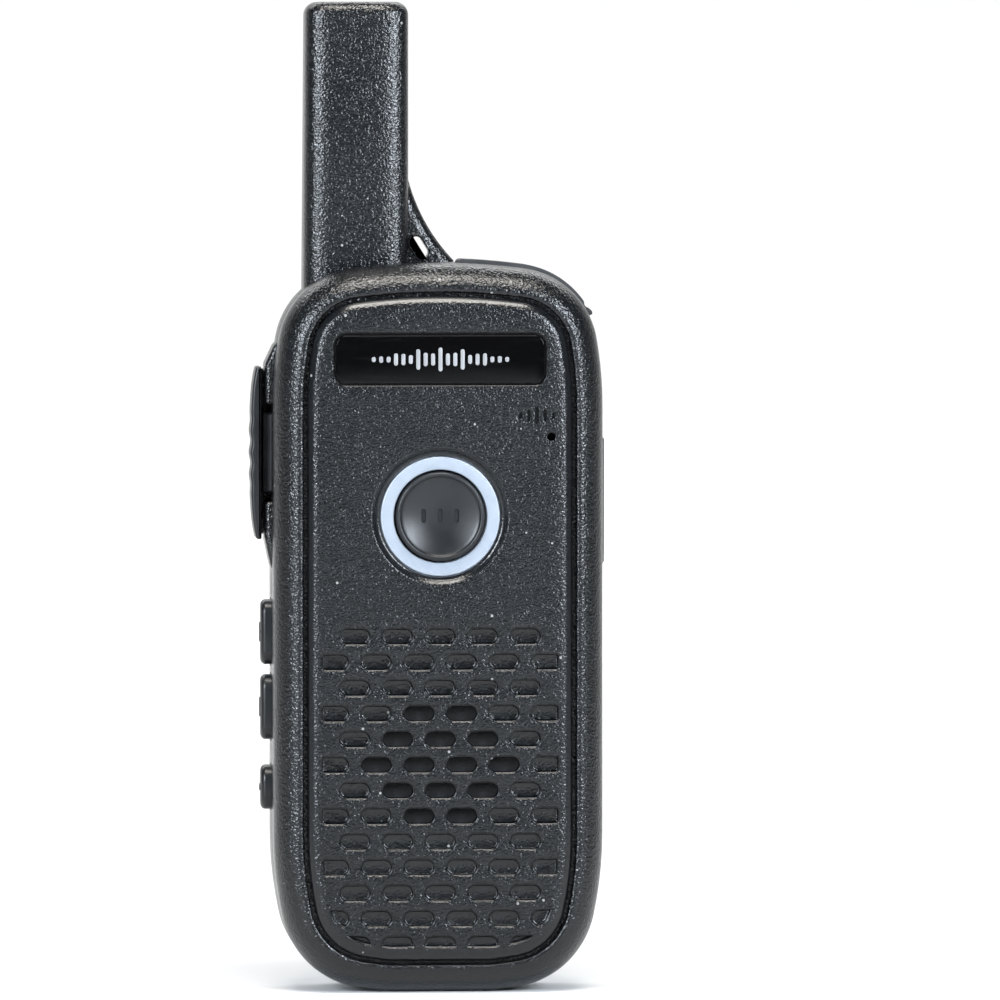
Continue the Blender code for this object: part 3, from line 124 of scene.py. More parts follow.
def rounded_polygon(corners: Sequence[Sequence[float]], radius: float | Array, segments: int = 6) -> Array:
    """A polygon whose corners are arcs tangent to both of their sides.

    Each arc starts at a distance of radius / tan(half the corner's angle) from the corner, and at
    most just under half of the shorter side.

    Args:
        corners: The polygon's corners, in order.
        radius: One radius, or one for each corner.
        segments: Steps in each arc.

    Returns:
        Array of shape (corners * (segments + 1), 2).
    """
    at = np.asarray(corners, float)
    back, ahead = np.roll(at, 1, 0) - at, np.roll(at, -1, 0) - at
    half = np.arccos(np.clip(np.sum(unit(back) * unit(ahead), axis=1), -0.99999, 0.99999)) / 2
    room = 0.49 * np.minimum(np.linalg.norm(back, axis=1), np.linalg.norm(ahead, axis=1))
    reach = np.minimum(np.broadcast_to(radius, half.shape) / np.tan(half), room)
    centre = at + unit(unit(back) + unit(ahead)) * (reach / np.cos(half))[:, None]
    first = (at + unit(back) * reach[:, None] - centre)[:, None, :]
    last = (at + unit(ahead) * reach[:, None] - centre)[:, None, :]
    sweep = (math.pi - 2 * half)[:, None, None]
    share = np.linspace(0, 1, segments + 1)[None, :, None]
    turned = (np.sin((1 - share) * sweep) * first + np.sin(share * sweep) * last) / np.sin(sweep)
    return (centre[:, None, :] + turned).reshape(-1, 2)


def inset(outline: Array, distance: float) -> Array:
    """An anticlockwise outline moved inwards, each point along the mitre of its two sides.

    Args:
        outline: The outline.
        distance: How far it moves; a negative distance moves it outwards.

    Returns:
        The moved outline.
    """
    side = np.roll(outline, -1, 0) - outline
    normal = unit(columns(side[:, 1], -side[:, 0]))
    before = np.roll(normal, 1, 0)
    mitre = (normal + before) / (1 + np.sum(normal * before, axis=1, keepdims=True))
    return outline - distance * mitre


def anticlockwise(outline: Array) -> Array:
    """The outline in anticlockwise order, whichever way it was given.

    Args:
        outline: Any simple outline.

    Returns:
        The outline, turned about if it ran clockwise.
    """
    ahead = np.roll(outline, -1, 0)
    area = np.sum(outline[:, 0] * ahead[:, 1] - ahead[:, 0] * outline[:, 1])
    return outline if area > 0 else outline[::-1]


def inside(outline: Array, points: Array) -> Array:
    """Which points lie in an outline: a ray to the right crosses its sides an odd number of times.

    Args:
        outline: A simple outline.
        points: Array of shape (n, 2).

    Returns:
        Array of n truth values.
    """
    ahead = np.roll(outline, -1, 0)
    across, up = points[:, 0:1], points[:, 1:2]
    spans = (outline[:, 1] > up) != (ahead[:, 1] > up)
    rise = np.where(np.abs(ahead[:, 1] - outline[:, 1]) < 1e-12, 1e-12, ahead[:, 1] - outline[:, 1])
    cross = outline[:, 0] + (up - outline[:, 1]) / rise * (ahead[:, 0] - outline[:, 0])
    return np.count_nonzero(spans & (across < cross), axis=1) % 2 == 1


@dataclass(frozen=True)
class CaseEnd:
    """Half of one end of the case: a wide crown, a corner and a slow side curve, tangent in turn."""

    corner: float
    crown_angle: float
    side_angle: float
    half: float = 25.0
    side_radius: float = 60.0

    def at(self, angle: Array | float) -> tuple[Array, Array]:
        """Where the outward normal has turned by an angle from the end towards the side.

        Each arc adds radius * (sin b - sin a) across and radius * (cos a - cos b) down, for the part
        of the turn, a to b, that falls in it.

        Args:
            angle: Turn of the normal, 0 at the crown and a quarter turn at the side.

        Returns:
            Distance from the middle and distance below the crown.
        """
        across_corner = self.corner * (math.sin(self.side_angle) - math.sin(self.crown_angle))
        across_side = self.side_radius * (1 - math.sin(self.side_angle))
        crown = (self.half - across_corner - across_side) / math.sin(self.crown_angle)
        across, down = np.zeros_like(angle, float), np.zeros_like(angle, float)
        for radius, start, end in (
            (crown, 0.0, self.crown_angle),
            (self.corner, self.crown_angle, self.side_angle),
            (self.side_radius, self.side_angle, QUARTER),
        ):
            stop = np.clip(angle, start, end)
            across = across + radius * (np.sin(stop) - math.sin(start))
            down = down + radius * (math.cos(start) - np.cos(stop))
        return across, down

    def angle_at(self, across: float) -> float:
        """The normal's turn at a distance from the middle."""
        turn = np.linspace(0, QUARTER, 4001)
        return float(np.interp(across, self.at(turn)[0], turn))

    def turns(self, first: float) -> Array:
        """Turns of the normal for a dense outline, from a first one to the side.

        Args:
            first: The first turn, within the crown's arc.

        Returns:
            Turns, closest together in the corner.
        """
        crown = np.linspace(first, self.crown_angle, 7)
        corner = np.linspace(self.crown_angle, self.side_angle, 27)
        return np.concatenate([crown[:-1], corner[:-1], np.linspace(self.side_angle, QUARTER, 6)])


@dataclass(frozen=True)
class Case:
    """The radio's case as a closed outline that is carried from front to back."""

    height: float = 110.4
    depth: float = 24.0
    wall: float = 2.0
    seam: float = 0.3
    seam_y: float = -3.0
    foot_half: float = 8.0
    seam_edge: tuple[tuple[float, float], ...] = ((0.22, 0.0), (0.06, 0.08), (0.0, 0.25))  # inset, step
    top: CaseEnd = CaseEnd(12.9, math.radians(7.5), math.radians(80))
    foot: CaseEnd = CaseEnd(14.0, math.radians(9), math.radians(78))

    @property
    def front_y(self) -> float:
        """Level of the front face."""
        return -self.depth / 2

    @property
    def back_y(self) -> float:
        """Level of the back."""
        return self.depth / 2

    @property
    def rear_y(self) -> float:
        """Level of the rear shell's rim."""
        return self.seam_y + self.seam

    def below(self, distance: float) -> float:
        """Height of a point that lies below the top of the case."""
        return self.height - distance

    def top_point(self, angle: Array | float, offset: float | Array = 0.0) -> Array:
        """Points (x, z) on the right half of the top, offset inwards along the normal."""
        across, down = self.top.at(angle)
        return columns(across - offset * np.sin(angle), self.height - down - offset * np.cos(angle))

    def rim(self) -> tuple[Array, Array]:
        """The outline with no offset.

        The right half runs up from the middle of the flat foot through the foot's corner, the
        straight side and the top's corner, and the left half mirrors it.

        Returns:
            Points and outward normals, each of shape (n, 2), anticlockwise as the front is seen.
        """
        flat_turn = self.foot.angle_at(self.foot_half)
        sag = float(self.foot.at(flat_turn)[1])
        flat = np.linspace(0, 1, 5)[:-1]
        foot_turn = self.foot.turns(flat_turn)
        across, down = self.foot.at(foot_turn)
        foot_points = columns(across, down - sag)
        foot_normals = columns(np.sin(foot_turn), -np.cos(foot_turn))
        flat_points = columns(flat * self.foot_half, np.zeros_like(flat))
        flat_normals = columns(flat * math.sin(flat_turn), np.full_like(flat, -math.cos(flat_turn)))
        top_turn = self.top.turns(0.0)[::-1]
        top_points = self.top_point(top_turn)
        top_normals = columns(np.sin(top_turn), np.cos(top_turn))
        side_z = np.linspace(foot_points[-1, 1], top_points[0, 1], 26)[1:-1]
        side_points = columns(np.full_like(side_z, self.foot.half), side_z)
        side_normals = np.tile((1.0, 0.0), (len(side_z), 1))
        points = np.concatenate([flat_points, foot_points, side_points, top_points])
        normals = np.concatenate([flat_normals, foot_normals, side_normals, top_normals])
        mirrored = slice(-2, 0, -1)
        flip = np.array((-1.0, 1.0))
        return (
            np.concatenate([points, points[mirrored] * flip]),
            np.concatenate([normals, normals[mirrored] * flip]),
        )

    def ring(self, offset: float) -> Array:
        """The outline moved inwards along its normals."""
        points, normals = self.rim()
        return points - offset * normals

    def inwards(self, points: Array) -> tuple[Array, Array]:
        """How far inside the outline points lie.

        The distance is measured along the normal of the nearest point of the outline.

        Args:
            points: Array of shape (n, 2).

        Returns:
            Distances, of shape (n,), and inward directions, of shape (n, 2).
        """
        rim, normals = self.rim()
        away = np.linalg.norm(points[:, None, :] - rim[None, :, :], axis=-1)
        near = np.argmin(away, axis=1)
        return np.sum((rim[near] - points) * normals[near], axis=1), -normals[near]


def link(obj: bpy.types.Object) -> None:
    """Puts an object in the scene."""
    bpy.context.scene.collection.objects.link(obj)


# ---- surfaces ----
class Surface:
    """Points and faces, in millimetres, that are gathered into one mesh."""

    def __init__(self) -> None:
        """Starts with nothing in it."""
        self._points: list[Array] = []
        self._faces: list[list[int]] = []
        self._grain: list[Array] = []
        self._count = 0

    def add(
        self, points: Array, faces: Sequence[Sequence[int]] | Array, grain: float | Array = 1.0
    ) -> Surface:
        """Adds points with the faces between them.

        Args:
            points: Array of shape (n, 3).
            faces: Faces as indices into these points.
            grain: Share of the moulded grain that each point carries, from 0 to 1.

        Returns:
            This surface.
        """
        rows = faces.tolist() if isinstance(faces, np.ndarray) else faces
        self._faces += [[self._count + i for i in row] for row in rows]
        self._points.append(points)
        self._grain.append(np.broadcast_to(grain, (len(points),)))
        self._count += len(points)
        return self

    def loft(
        self,
        rings: Array,
        looped: bool = False,
        caps: tuple[bool, bool] = (True, True),
        grain: float | Array = 1.0,
    ) -> Surface:
        """A skin through closed rings of equal length.

        The surface is a function of two parameters, the station and the place round the ring, and
        each cell of that grid is one four-sided face.

        Args:
            rings: Array of shape (stations, around, 3).
            looped: Whether the last ring joins the first.
            caps: Whether the first and the last ring are closed.
            grain: Share of the moulded grain, one number or one for each station.

        Returns:
            This surface.
        """
        stations, around = rings.shape[:2]
        here = np.arange(around)
        ahead = np.roll(here, -1)
        row = np.arange(stations if looped else stations - 1)[:, None]
        low, high = row * around, (row + 1) % stations * around
        cells = columns(low + here, low + ahead, high + ahead, high + here)
        faces = cells.reshape(-1, 4).tolist()
        if not looped:
            faces += [here.tolist()] if caps[0] else []
            faces += [(here + (stations - 1) * around).tolist()] if caps[1] else []
        share = np.broadcast_to(np.asarray(grain, float).reshape(-1, 1), (stations, around))
        return self.add(rings.reshape(-1, 3), faces, share.reshape(-1))

    def mesh(self, name: str) -> bpy.types.Mesh:
        """The mesh, in metres, its doubled points merged and its faces turned outwards.

        Args:
            name: The mesh's name.

        Returns:
            The mesh, which keeps the share of grain on its points.
        """
        made = bpy.data.meshes.new(name)
        made.from_pydata((np.concatenate(self._points) * MM).tolist(), [], self._faces)
        layer = made.attributes.new("grain", "FLOAT", "POINT")
        layer.data.foreach_set("value", np.concatenate(self._grain).astype(np.float32))
        work = bmesh.new()
        work.from_mesh(made)
        bmesh.ops.remove_doubles(work, verts=work.verts, dist=2e-7)
        bmesh.ops.recalc_face_normals(work, faces=work.faces)
        work.to_mesh(made)
        work.free()
        return made


def stand(outlines: Sequence[Array] | Array, levels: Sequence[float] | Array, axis: Axis) -> Array:
    """Sections set at their levels along an axis.

    Args:
        outlines: Sections, each of shape (n, 2), in the axis's two cross coordinates.
        levels: Level of each section.
        axis: The axis.

    Returns:
        Array of shape (sections, n, 3).
    """
    flat = np.asarray(outlines, float)
    level = np.broadcast_to(np.asarray(levels, float)[:, None], flat.shape[:2])
    order = {
        Axis.X: (level, flat[..., 0], flat[..., 1]),
        Axis.Y: (flat[..., 0], level, flat[..., 1]),
        Axis.Z: (flat[..., 0], flat[..., 1], level),
    }[axis]
    return np.stack(order, axis=-1)


def soft_block(
    outline: Array, axis: Axis, low: float, high: float, edges: float | tuple[float, float] = 0.0
) -> Array:
    """Rings of a prism whose two end edges are rounded.

    Near an end the outline shrinks by edge * (1 - sin t) while its level moves by
    edge * (1 - cos t), with t from 0 to a quarter turn.

    Args:
        outline: Anticlockwise section.
        axis: Axis of the prism.
        low: Its first level.
        high: Its last level.
        edges: Radius of both end edges, or of each.

    Returns:
        Array of shape (stations, n, 3).
    """
    first, last = edges if isinstance(edges, tuple) else (edges, edges)
    turn = np.linspace(0, QUARTER, 6)
    sections: list[Array] = []
    levels: list[float] = []
    for edge, level, way in ((first, low, 1), (last, high, -1)):
        shrink = edge * (1 - np.sin(turn)) if edge else np.zeros(1)
        move = edge * (1 - np.cos(turn)) if edge else np.zeros(1)
        order = slice(None, None, way)
        sections += [inset(outline, s) for s in shrink[order]]
        levels += (level + way * move)[order].tolist()
    return stand(sections, levels, axis)


def turned(
    profile: Sequence[Sequence[float]] | Array, axis: Axis, centre: Sequence[float], segments: int = 64
) -> Array:
    """Rings of a shape turned about an axis.

    Args:
        profile: Stations of (radius, level).
        axis: The axis.
        centre: Its place, in the two cross coordinates.
        segments: Steps round it.

    Returns:
        Array of shape (stations, segments, 3).
    """
    stations = np.asarray(profile, float)
    ring = circle(1.0, segments=segments)
    return stand(np.asarray(centre) + stations[:, 0, None, None] * ring, stations[:, 1], axis)


def tube(path: Array, radius: float, around: int = 12) -> Array:
    """Rings of a round wire along a path that never runs along X.

    A ring is radius * (cos t * side + sin t * up), where side is square to the path and to X.

    Args:
        path: Points of shape (n, 3).
        radius: Radius of the wire.
        around: Steps round it.

    Returns:
        Array of shape (n, around, 3).
    """
    along = unit(np.gradient(path, axis=0))
    side = unit(np.cross(along, (1.0, 0.0, 0.0)))
    up = np.cross(side, along)
    turn = np.linspace(0, 2 * math.pi, around, endpoint=False)
    ring = np.cos(turn)[None, :, None] * side[:, None, :] + np.sin(turn)[None, :, None] * up[:, None, :]
    return path[:, None, :] + radius * ring


def solid(name: str, *lofts: Array) -> bpy.types.Mesh:
    """One mesh of closed lofts that don't share points.

    Args:
        name: The mesh's name.
        lofts: Rings of each loft, closed at both ends.

    Returns:
        The mesh.
    """
    made = Surface()
    for rings in lofts:
        made.loft(rings)
    return made.mesh(name)


class Cut(Enum):
    """What one closed mesh does to another."""

    ADD = "UNION"
    TAKE = "DIFFERENCE"
    KEEP = "INTERSECT"


Step = tuple[Cut, bpy.types.Mesh]


def join(name: str, rings: Array) -> Step:
    """The step that adds a closed loft."""
    return Cut.ADD, solid(name, rings)


def take(name: str, rings: Array) -> Step:
    """The step that takes a closed loft away."""
    return Cut.TAKE, solid(name, rings)


def carve(base: bpy.types.Mesh, *steps: Step) -> bpy.types.Mesh:
    """A closed mesh after other closed meshes were added to it or taken from it.

    Args:
        base: The mesh to start from.
        steps: What is done, and with which mesh, in order.

    Returns:
        A new mesh with the name of the first.
    """
    name = base.name
    body = bpy.data.objects.new(name, base)
    tools = []
    for way, mesh in steps:
        tool = bpy.data.objects.new(mesh.name, mesh)
        tools.append(tool)
        modifier = body.modifiers.new(mesh.name, "BOOLEAN")
        modifier.operation, modifier.solver, modifier.object = way.value, "MANIFOLD", tool
    for obj in (body, *tools):
        link(obj)
    graph = bpy.context.evaluated_depsgraph_get()
    made = bpy.data.meshes.new_from_object(body.evaluated_get(graph))
    for obj in (body, *tools):
        mesh = obj.data
        bpy.data.objects.remove(obj)
        bpy.data.meshes.remove(mesh)
    work = bmesh.new()
    work.from_mesh(made)
    bmesh.ops.remove_doubles(work, verts=work.verts, dist=1e-6)
    bmesh.ops.dissolve_degenerate(work, edges=work.edges, dist=1e-6)
    work.to_mesh(made)
    work.free()
    made.name = name
    return made


# ---- shader expressions ----
@dataclass(frozen=True)
class Term:
    """A shader socket that can stand in an arithmetic expression."""

    shader: Shader
    socket: bpy.types.NodeSocket

    def _with(self, operation: str, first: object, second: object) -> Term:
        """Adds one Math node."""
        node = self.shader.node("ShaderNodeMath", {"operation": operation}, {0: first, 1: second})
        return Term(self.shader, node.outputs[0])

    def __add__(self, other: Term | float) -> Term:
        """This plus other."""
        return self._with("ADD", self, other)

    __radd__ = __add__

    def __sub__(self, other: Term | float) -> Term:
        """This minus other."""
        return self._with("SUBTRACT", self, other)

    def __rsub__(self, other: float) -> Term:
        """Other minus this."""
        return self._with("SUBTRACT", other, self)

    def __mul__(self, other: Term | float) -> Term:
        """This times other."""
        return self._with("MULTIPLY", self, other)

    def __truediv__(self, other: Term | float) -> Term:
        """This divided by other."""
        return self._with("DIVIDE", self, other)

    def above(self, level: Term | float) -> Term:
        """1 where this is greater than a level, and 0 elsewhere."""
        return self._with("GREATER_THAN", self, level)


Colour = tuple[float, float, float]


class Shader:
    """The nodes of one material, with its main shader."""

    def __init__(self, name: str) -> None:
        """Starts a material with nothing but its shader and its output."""
        self.material = bpy.data.materials.new(name)
        self.material.use_nodes = True
        self.tree = self.material.node_tree
        self.tree.nodes.clear()
        self.main = self.node("ShaderNodeBsdfPrincipled")
        out = self.node("ShaderNodeOutputMaterial", {}, {"Surface": self.main.outputs[0]})
        out.is_active_output = True

    def node(
        self,
        kind: str,
        settings: Mapping[str, object] | None = None,
        values: Mapping[str | int, object] | None = None,
    ) -> bpy.types.Node:
        """Adds a node.

        Args:
            kind: Its type.
            settings: Its own settings, with a ramp's as a list of (place, colour) named stops.
            values: Values or links of its sockets, by name or number.

        Returns:
            The node.
        """
        made = self.tree.nodes.new(kind)
        for key, value in (settings or {}).items():
            if key == "stops":
                elements = made.color_ramp.elements
                while len(elements) < len(value):
                    elements.new(1.0)
                for element, (place, colour) in zip(elements, value):
                    element.position, element.color = place, (*colour, 1)
            else:
                setattr(made, key, value)
        for key, value in (values or {}).items():
            self.feed(made.inputs[key], value)
        return made

    def feed(self, socket: bpy.types.NodeSocket, value: object) -> None:
        """Links a socket to a term or another socket, or sets its value.

        Args:
            socket: The socket.
            value: A term, a socket, a colour or a plain value.
        """
        if isinstance(value, Term):
            self.tree.links.new(value.socket, socket)
        elif isinstance(value, bpy.types.NodeSocket):
            self.tree.links.new(value, socket)
        elif isinstance(value, tuple) and len(value) == 3 and socket.type == "RGBA":
            socket.default_value = (*value, 1)
        else:
            socket.default_value = value

    def set(self, **values: object) -> None:
        """Sets the main shader's sockets, with underscores for the spaces in their names."""
        for key, value in values.items():
            self.feed(self.main.inputs[key.replace("_", " ")], value)

    def where(self) -> bpy.types.NodeSocket:
        """The place on the object, in metres."""
        return self.node("ShaderNodeTexCoord").outputs["Object"]

    def stretched(self, scale: Colour) -> bpy.types.NodeSocket:
        """The place on the object, scaled along each axis."""
        return self.node("ShaderNodeMapping", {}, {"Vector": self.where(), "Scale": scale}).outputs[0]

    def noise(self, size: float, detail: float = 2.0, bend: float = 0.0, place: object = None) -> Term:
        """Soft random values from 0 to 1, whose patches are about size millimetres wide."""
        values = {
            "Vector": place or self.where(), "Scale": 1 / (size * MM), "Detail": detail, "Distortion": bend
        }
        return Term(self, self.node("ShaderNodeTexNoise", {}, values).outputs[0])

    def cells(self, size: float, feature: str = "F1", spread: float = 1.0) -> bpy.types.Node:
        """Random cells about size millimetres wide."""
        values = {"Vector": self.where(), "Scale": 1 / (size * MM), "Randomness": spread}
        return self.node("ShaderNodeTexVoronoi", {"feature": feature}, values)

    def specks(self, size: float, share: float) -> Term:
        """1 in small random specks and 0 elsewhere: near the middle of a few of the cells.

        Args:
            size: Width of a cell, in millimetres.
            share: Share of the cells that hold a speck.

        Returns:
            The specks as a term.
        """
        cells = self.cells(size)
        near = 1 - (Term(self, cells.outputs["Distance"]) / 0.16)
        tint = self.node("ShaderNodeSeparateColor", {}, {0: cells.outputs["Color"]})
        few = Term(self, tint.outputs[0]).above(1 - share)
        return near.above(0.0) * few

    def mix(self, share: Term | float, first: object, second: object) -> bpy.types.NodeSocket:
        """A colour between two colours."""
        made = self.node("ShaderNodeMix", {"data_type": "RGBA"}, {0: share, 6: first, 7: second})
        return made.outputs[2]

    def ramp(self, value: Term, *stops: tuple[float, float]) -> Term:
        """A value carried through grey stops of (place, level)."""
        made = self.node(
            "ShaderNodeValToRGB", {"stops": [(place, (level,) * 3) for place, level in stops]}, {0: value}
        )
        return Term(self, made.outputs[0])

    def bump(self, height: Term, depth: float) -> None:
        """Raises the surface by a height from 0 to 1, of depth millimetres."""
        made = self.node("ShaderNodeBump", {}, {"Height": height, "Distance": depth * MM, "Strength": 1.0})
        self.set(Normal=made.outputs[0])


# ---- finishes ----
@dataclass(frozen=True)
class MouldedPlastic:
    """Black plastic with the wrinkled grain of a spark-eroded mould, and a little dust."""

    name: str
    colour: Colour = (0.0018, 0.0022, 0.0028)
    # colour of the painted highlight: the tops of the grain are painted this lighter tone
    painted_highlight: Colour = (0.0060, 0.0070, 0.0086)
    roughness: float = 0.24
    grain: float = 0.36
    depth: float = 0.140
    masked: bool = False
    dust: float = 0.02

    def build(self) -> bpy.types.Material:
        """The material: one noise field gives grain height, gloss and a painted highlight, a lighter colour
        on the tops of the grain.

        Returns:
            The material.
        """
        shader = Shader(self.name)
        wrinkle = shader.noise(self.grain, 1.2, 0.35)
        pits = Term(shader, shader.cells(self.grain * 1.3, "SMOOTH_F1").outputs["Distance"])
        height = wrinkle * 0.9 + pits * 0.3
        if self.masked:
            attribute = shader.node("ShaderNodeAttribute", {"attribute_name": "grain"})
            height = height * Term(shader, attribute.outputs["Fac"])
        patches = shader.noise(16.0, 3.0)
        specks = shader.specks(1.3, self.dust)
        # painted highlight: the base colour turns lighter on the tops of the grain, where glints of the lamps
        # would catch; the same tops are also a little glossier
        tops = shader.ramp(wrinkle, (0.50, 0.0), (0.66, 1.0))
        painted_highlight_base = shader.mix(tops, self.colour, self.painted_highlight)
        shader.set(
            Base_Color=shader.mix(specks * 0.5, painted_highlight_base, (0.35, 0.35, 0.34)),
            Roughness=self.roughness + (patches - 0.5) * 0.12 - tops * 0.08 + specks * 0.2,
            Specular_IOR_Level=0.40,
        )
        shader.bump(height, self.depth)
        return shader.material


@dataclass(frozen=True)
class SoftRubber:
    """Smooth dark key or cover rubber, with a fine matt bloom and handling marks."""

    name: str
    colour: Colour = (0.0040, 0.0048, 0.0060)
    bloom: Colour = (0.0075, 0.0085, 0.0100)
    roughness: float = 0.33
    grain: float = 0.12
    depth: float = 0.006
    dust: float = 0.012

    def build(self) -> bpy.types.Material:
        """The material: broad patches of bloom over a very fine grain.

        Returns:
            The material.
        """
        shader = Shader(self.name)
        patches = shader.noise(5.0, 4.0)
        fine = shader.noise(self.grain, 2.0)
        specks = shader.specks(1.1, self.dust)
        bloom = shader.ramp(patches, (0.4, 0.0), (0.75, 1.0))
        shader.set(
            Base_Color=shader.mix(specks * 0.6, shader.mix(bloom, self.colour, self.bloom), (0.4, 0.4, 0.39)),
            Roughness=self.roughness + bloom * 0.10 + (fine - 0.5) * 0.12,
            Specular_IOR_Level=0.36,
        )
        shader.bump(fine, self.depth)
        return shader.material


@dataclass(frozen=True)
class GlossPlate:
    """Black polished acrylic with faint wipe marks."""

    name: str = "plate_gloss"

    def build(self) -> bpy.types.Material:
        """The material: long thin marks raise the roughness a little.

        Returns:
            The material.
        """
        shader = Shader(self.name)
        wipe = shader.noise(1.0, 3.0, 0.3, shader.stretched((0.12, 1.0, 1.4)))
        marks = shader.ramp(wipe, (0.55, 0.0), (0.8, 1.0))
        shader.set(
            Base_Color=shader.mix(marks * 0.5, (0.0012, 0.0012, 0.0014), (0.006, 0.006, 0.0065)),
            Roughness=0.07 + marks * 0.10,
            Specular_IOR_Level=0.16,
        )
        return shader.material


@dataclass(frozen=True)
class LightGuide:
    """Milky pale blue plastic that glows faintly, clouded with depth."""

    name: str = "light_guide"

    def build(self) -> bpy.types.Material:
        """The material: soft clouds between two pale tints, with a faint even glow.

        Returns:
            The material.
        """
        shader = Shader(self.name)
        clouds = shader.noise(2.2, 3.0)
        milk = shader.mix(clouds, (0.19, 0.22, 0.262), (0.225, 0.252, 0.295))
        shader.set(
            Base_Color=milk,
            Roughness=0.32 + (clouds - 0.5) * 0.12,
            Emission_Color=milk,
            Emission_Strength=0.16,
            Subsurface_Weight=0.25,
            Subsurface_Radius=(0.0012, 0.0014, 0.0018),
            Subsurface_Scale=1.0,
        )
        shader.bump(shader.noise(0.35, 2.0), 0.004)
        return shader.material


@dataclass(frozen=True)
class Metal:
    """Worked metal: its grain runs along one axis, and handling dulls it in patches."""

    name: str
    colour: Colour
    tarnish: Colour
    roughness: float = 0.28
    along: Colour = (1.0, 1.0, 0.06)
    depth: float = 0.004

    def build(self) -> bpy.types.Material:
        """The material: a stretched noise for the grain, broad noise for the tarnish.

        Returns:
            The material.
        """
        shader = Shader(self.name)
        brushed = shader.noise(0.12, 2.0, 0.0, shader.stretched(self.along))
        patches = shader.ramp(shader.noise(2.6, 4.0), (0.45, 0.0), (0.8, 1.0))
        shader.set(
            Base_Color=shader.mix(patches * 0.6, self.colour, self.tarnish),
            Metallic=1.0,
            Roughness=self.roughness + (brushed - 0.5) * 0.18 + patches * 0.15,
        )
        shader.bump(brushed, self.depth)
        return shader.material


@dataclass(frozen=True)
class CircuitBoard:
    """Green lacquer over copper tracks, with tinned pads."""

    name: str = "circuit_board"

    def build(self) -> bpy.types.Material:
        """The material: square cells whose edges are tracks, and a few bright pads.

        Returns:
            The material.
        """
        shader = Shader(self.name)
        square = shader.node(
            "ShaderNodeTexVoronoi",
            {"feature": "F1", "distance": "CHEBYCHEV"},
            {"Vector": shader.where(), "Scale": 420.0, "Randomness": 0.75},
        )
        reach = Term(shader, square.outputs["Distance"])
        tracks = reach.above(0.34) * (1 - reach.above(0.42))
        pads = 1 - reach.above(0.09)
        green = shader.mix(tracks, (0.012, 0.085, 0.035), (0.03, 0.17, 0.06))
        shader.set(
            Base_Color=shader.mix(pads, green, (0.62, 0.60, 0.56)),
            Metallic=pads * 0.9,
            Roughness=0.38 - pads * 0.12 + (shader.noise(1.5, 3.0) - 0.5) * 0.1,
        )
        shader.bump(tracks + pads, 0.02)
        return shader.material


@dataclass(frozen=True)
class Matt:
    """A plain matt stuff whose fibres or powder show as two tones and a rough surface."""

    name: str
    colour: Colour
    second: Colour
    roughness: float
    size: float = 0.25
    depth: float = 0.03
    metallic: float = 0.0

    def build(self) -> bpy.types.Material:
        """The material: fine noise between the two tones.

        Returns:
            The material.
        """
        shader = Shader(self.name)
        fine = shader.noise(self.size, 4.0, 0.6)
        shader.set(
            Base_Color=shader.mix(shader.ramp(fine, (0.35, 0.0), (0.7, 1.0)), self.colour, self.second),
            Roughness=self.roughness + (fine - 0.5) * 0.15,
            Metallic=self.metallic,
        )
        shader.bump(fine, self.depth)
        return shader.material


class Slot(Enum):
    """The record's material slots, each with the finish that it gets here."""

    SHELL = MouldedPlastic("shell_plastic")
    PANEL = MouldedPlastic("panel_plastic", grain=0.33, depth=0.122, masked=True, dust=0.03)
    PLATE = GlossPlate()
    GUIDE = LightGuide()
    KEY = SoftRubber("key_rubber")
    COVER = SoftRubber("cover_rubber", (0.011, 0.012, 0.0135), (0.02, 0.021, 0.023), 0.5, 0.2, 0.012)
    STEEL = Metal("bright_steel", (0.60, 0.60, 0.62), (0.40, 0.39, 0.38))
    GOLD = Metal("gold", (0.83, 0.60, 0.25), (0.62, 0.42, 0.18), 0.25)
    BOARD = CircuitBoard()
    CHIP = Matt("chip_plastic", (0.017, 0.017, 0.018), (0.028, 0.028, 0.029), 0.52, 0.18, 0.008)
    WHITE = Matt("white_plastic", (0.72, 0.72, 0.69), (0.78, 0.78, 0.75), 0.45, 0.8, 0.004)
    WRAP = Matt("battery_wrap", (0.06, 0.07, 0.09), (0.085, 0.095, 0.12), 0.38, 2.5, 0.02)
    COPPER = Metal("copper", (0.72, 0.35, 0.20), (0.45, 0.22, 0.13), 0.26)
    FERRITE = Matt("ferrite", (0.06, 0.06, 0.065), (0.11, 0.11, 0.115), 0.55, 0.3, 0.02, 0.3)
    PAPER = Matt("paper_cone", (0.035, 0.034, 0.033), (0.07, 0.068, 0.064), 0.85, 0.35, 0.05)
    FELT = Matt("felt", (0.006, 0.006, 0.0065), (0.016, 0.016, 0.017), 0.95, 0.16, 0.08)


class Wardrobe:
    """Hands out each finish's material, made once."""

    _made: dict[str, bpy.types.Material] = {}

    @classmethod
    def of(cls, finish: object) -> bpy.types.Material:
        """The material of a finish.

        Args:
            finish: A finish, with a name and a build method.

        Returns:
            Its material.
        """
        if finish.name not in cls._made:
            cls._made[finish.name] = finish.build()
        return cls._made[finish.name]


SILVER_INK = Metal("silver_ink", (0.34, 0.34, 0.35), (0.24, 0.24, 0.25), 0.42, (0.05, 1.0, 1.0), 0.002)


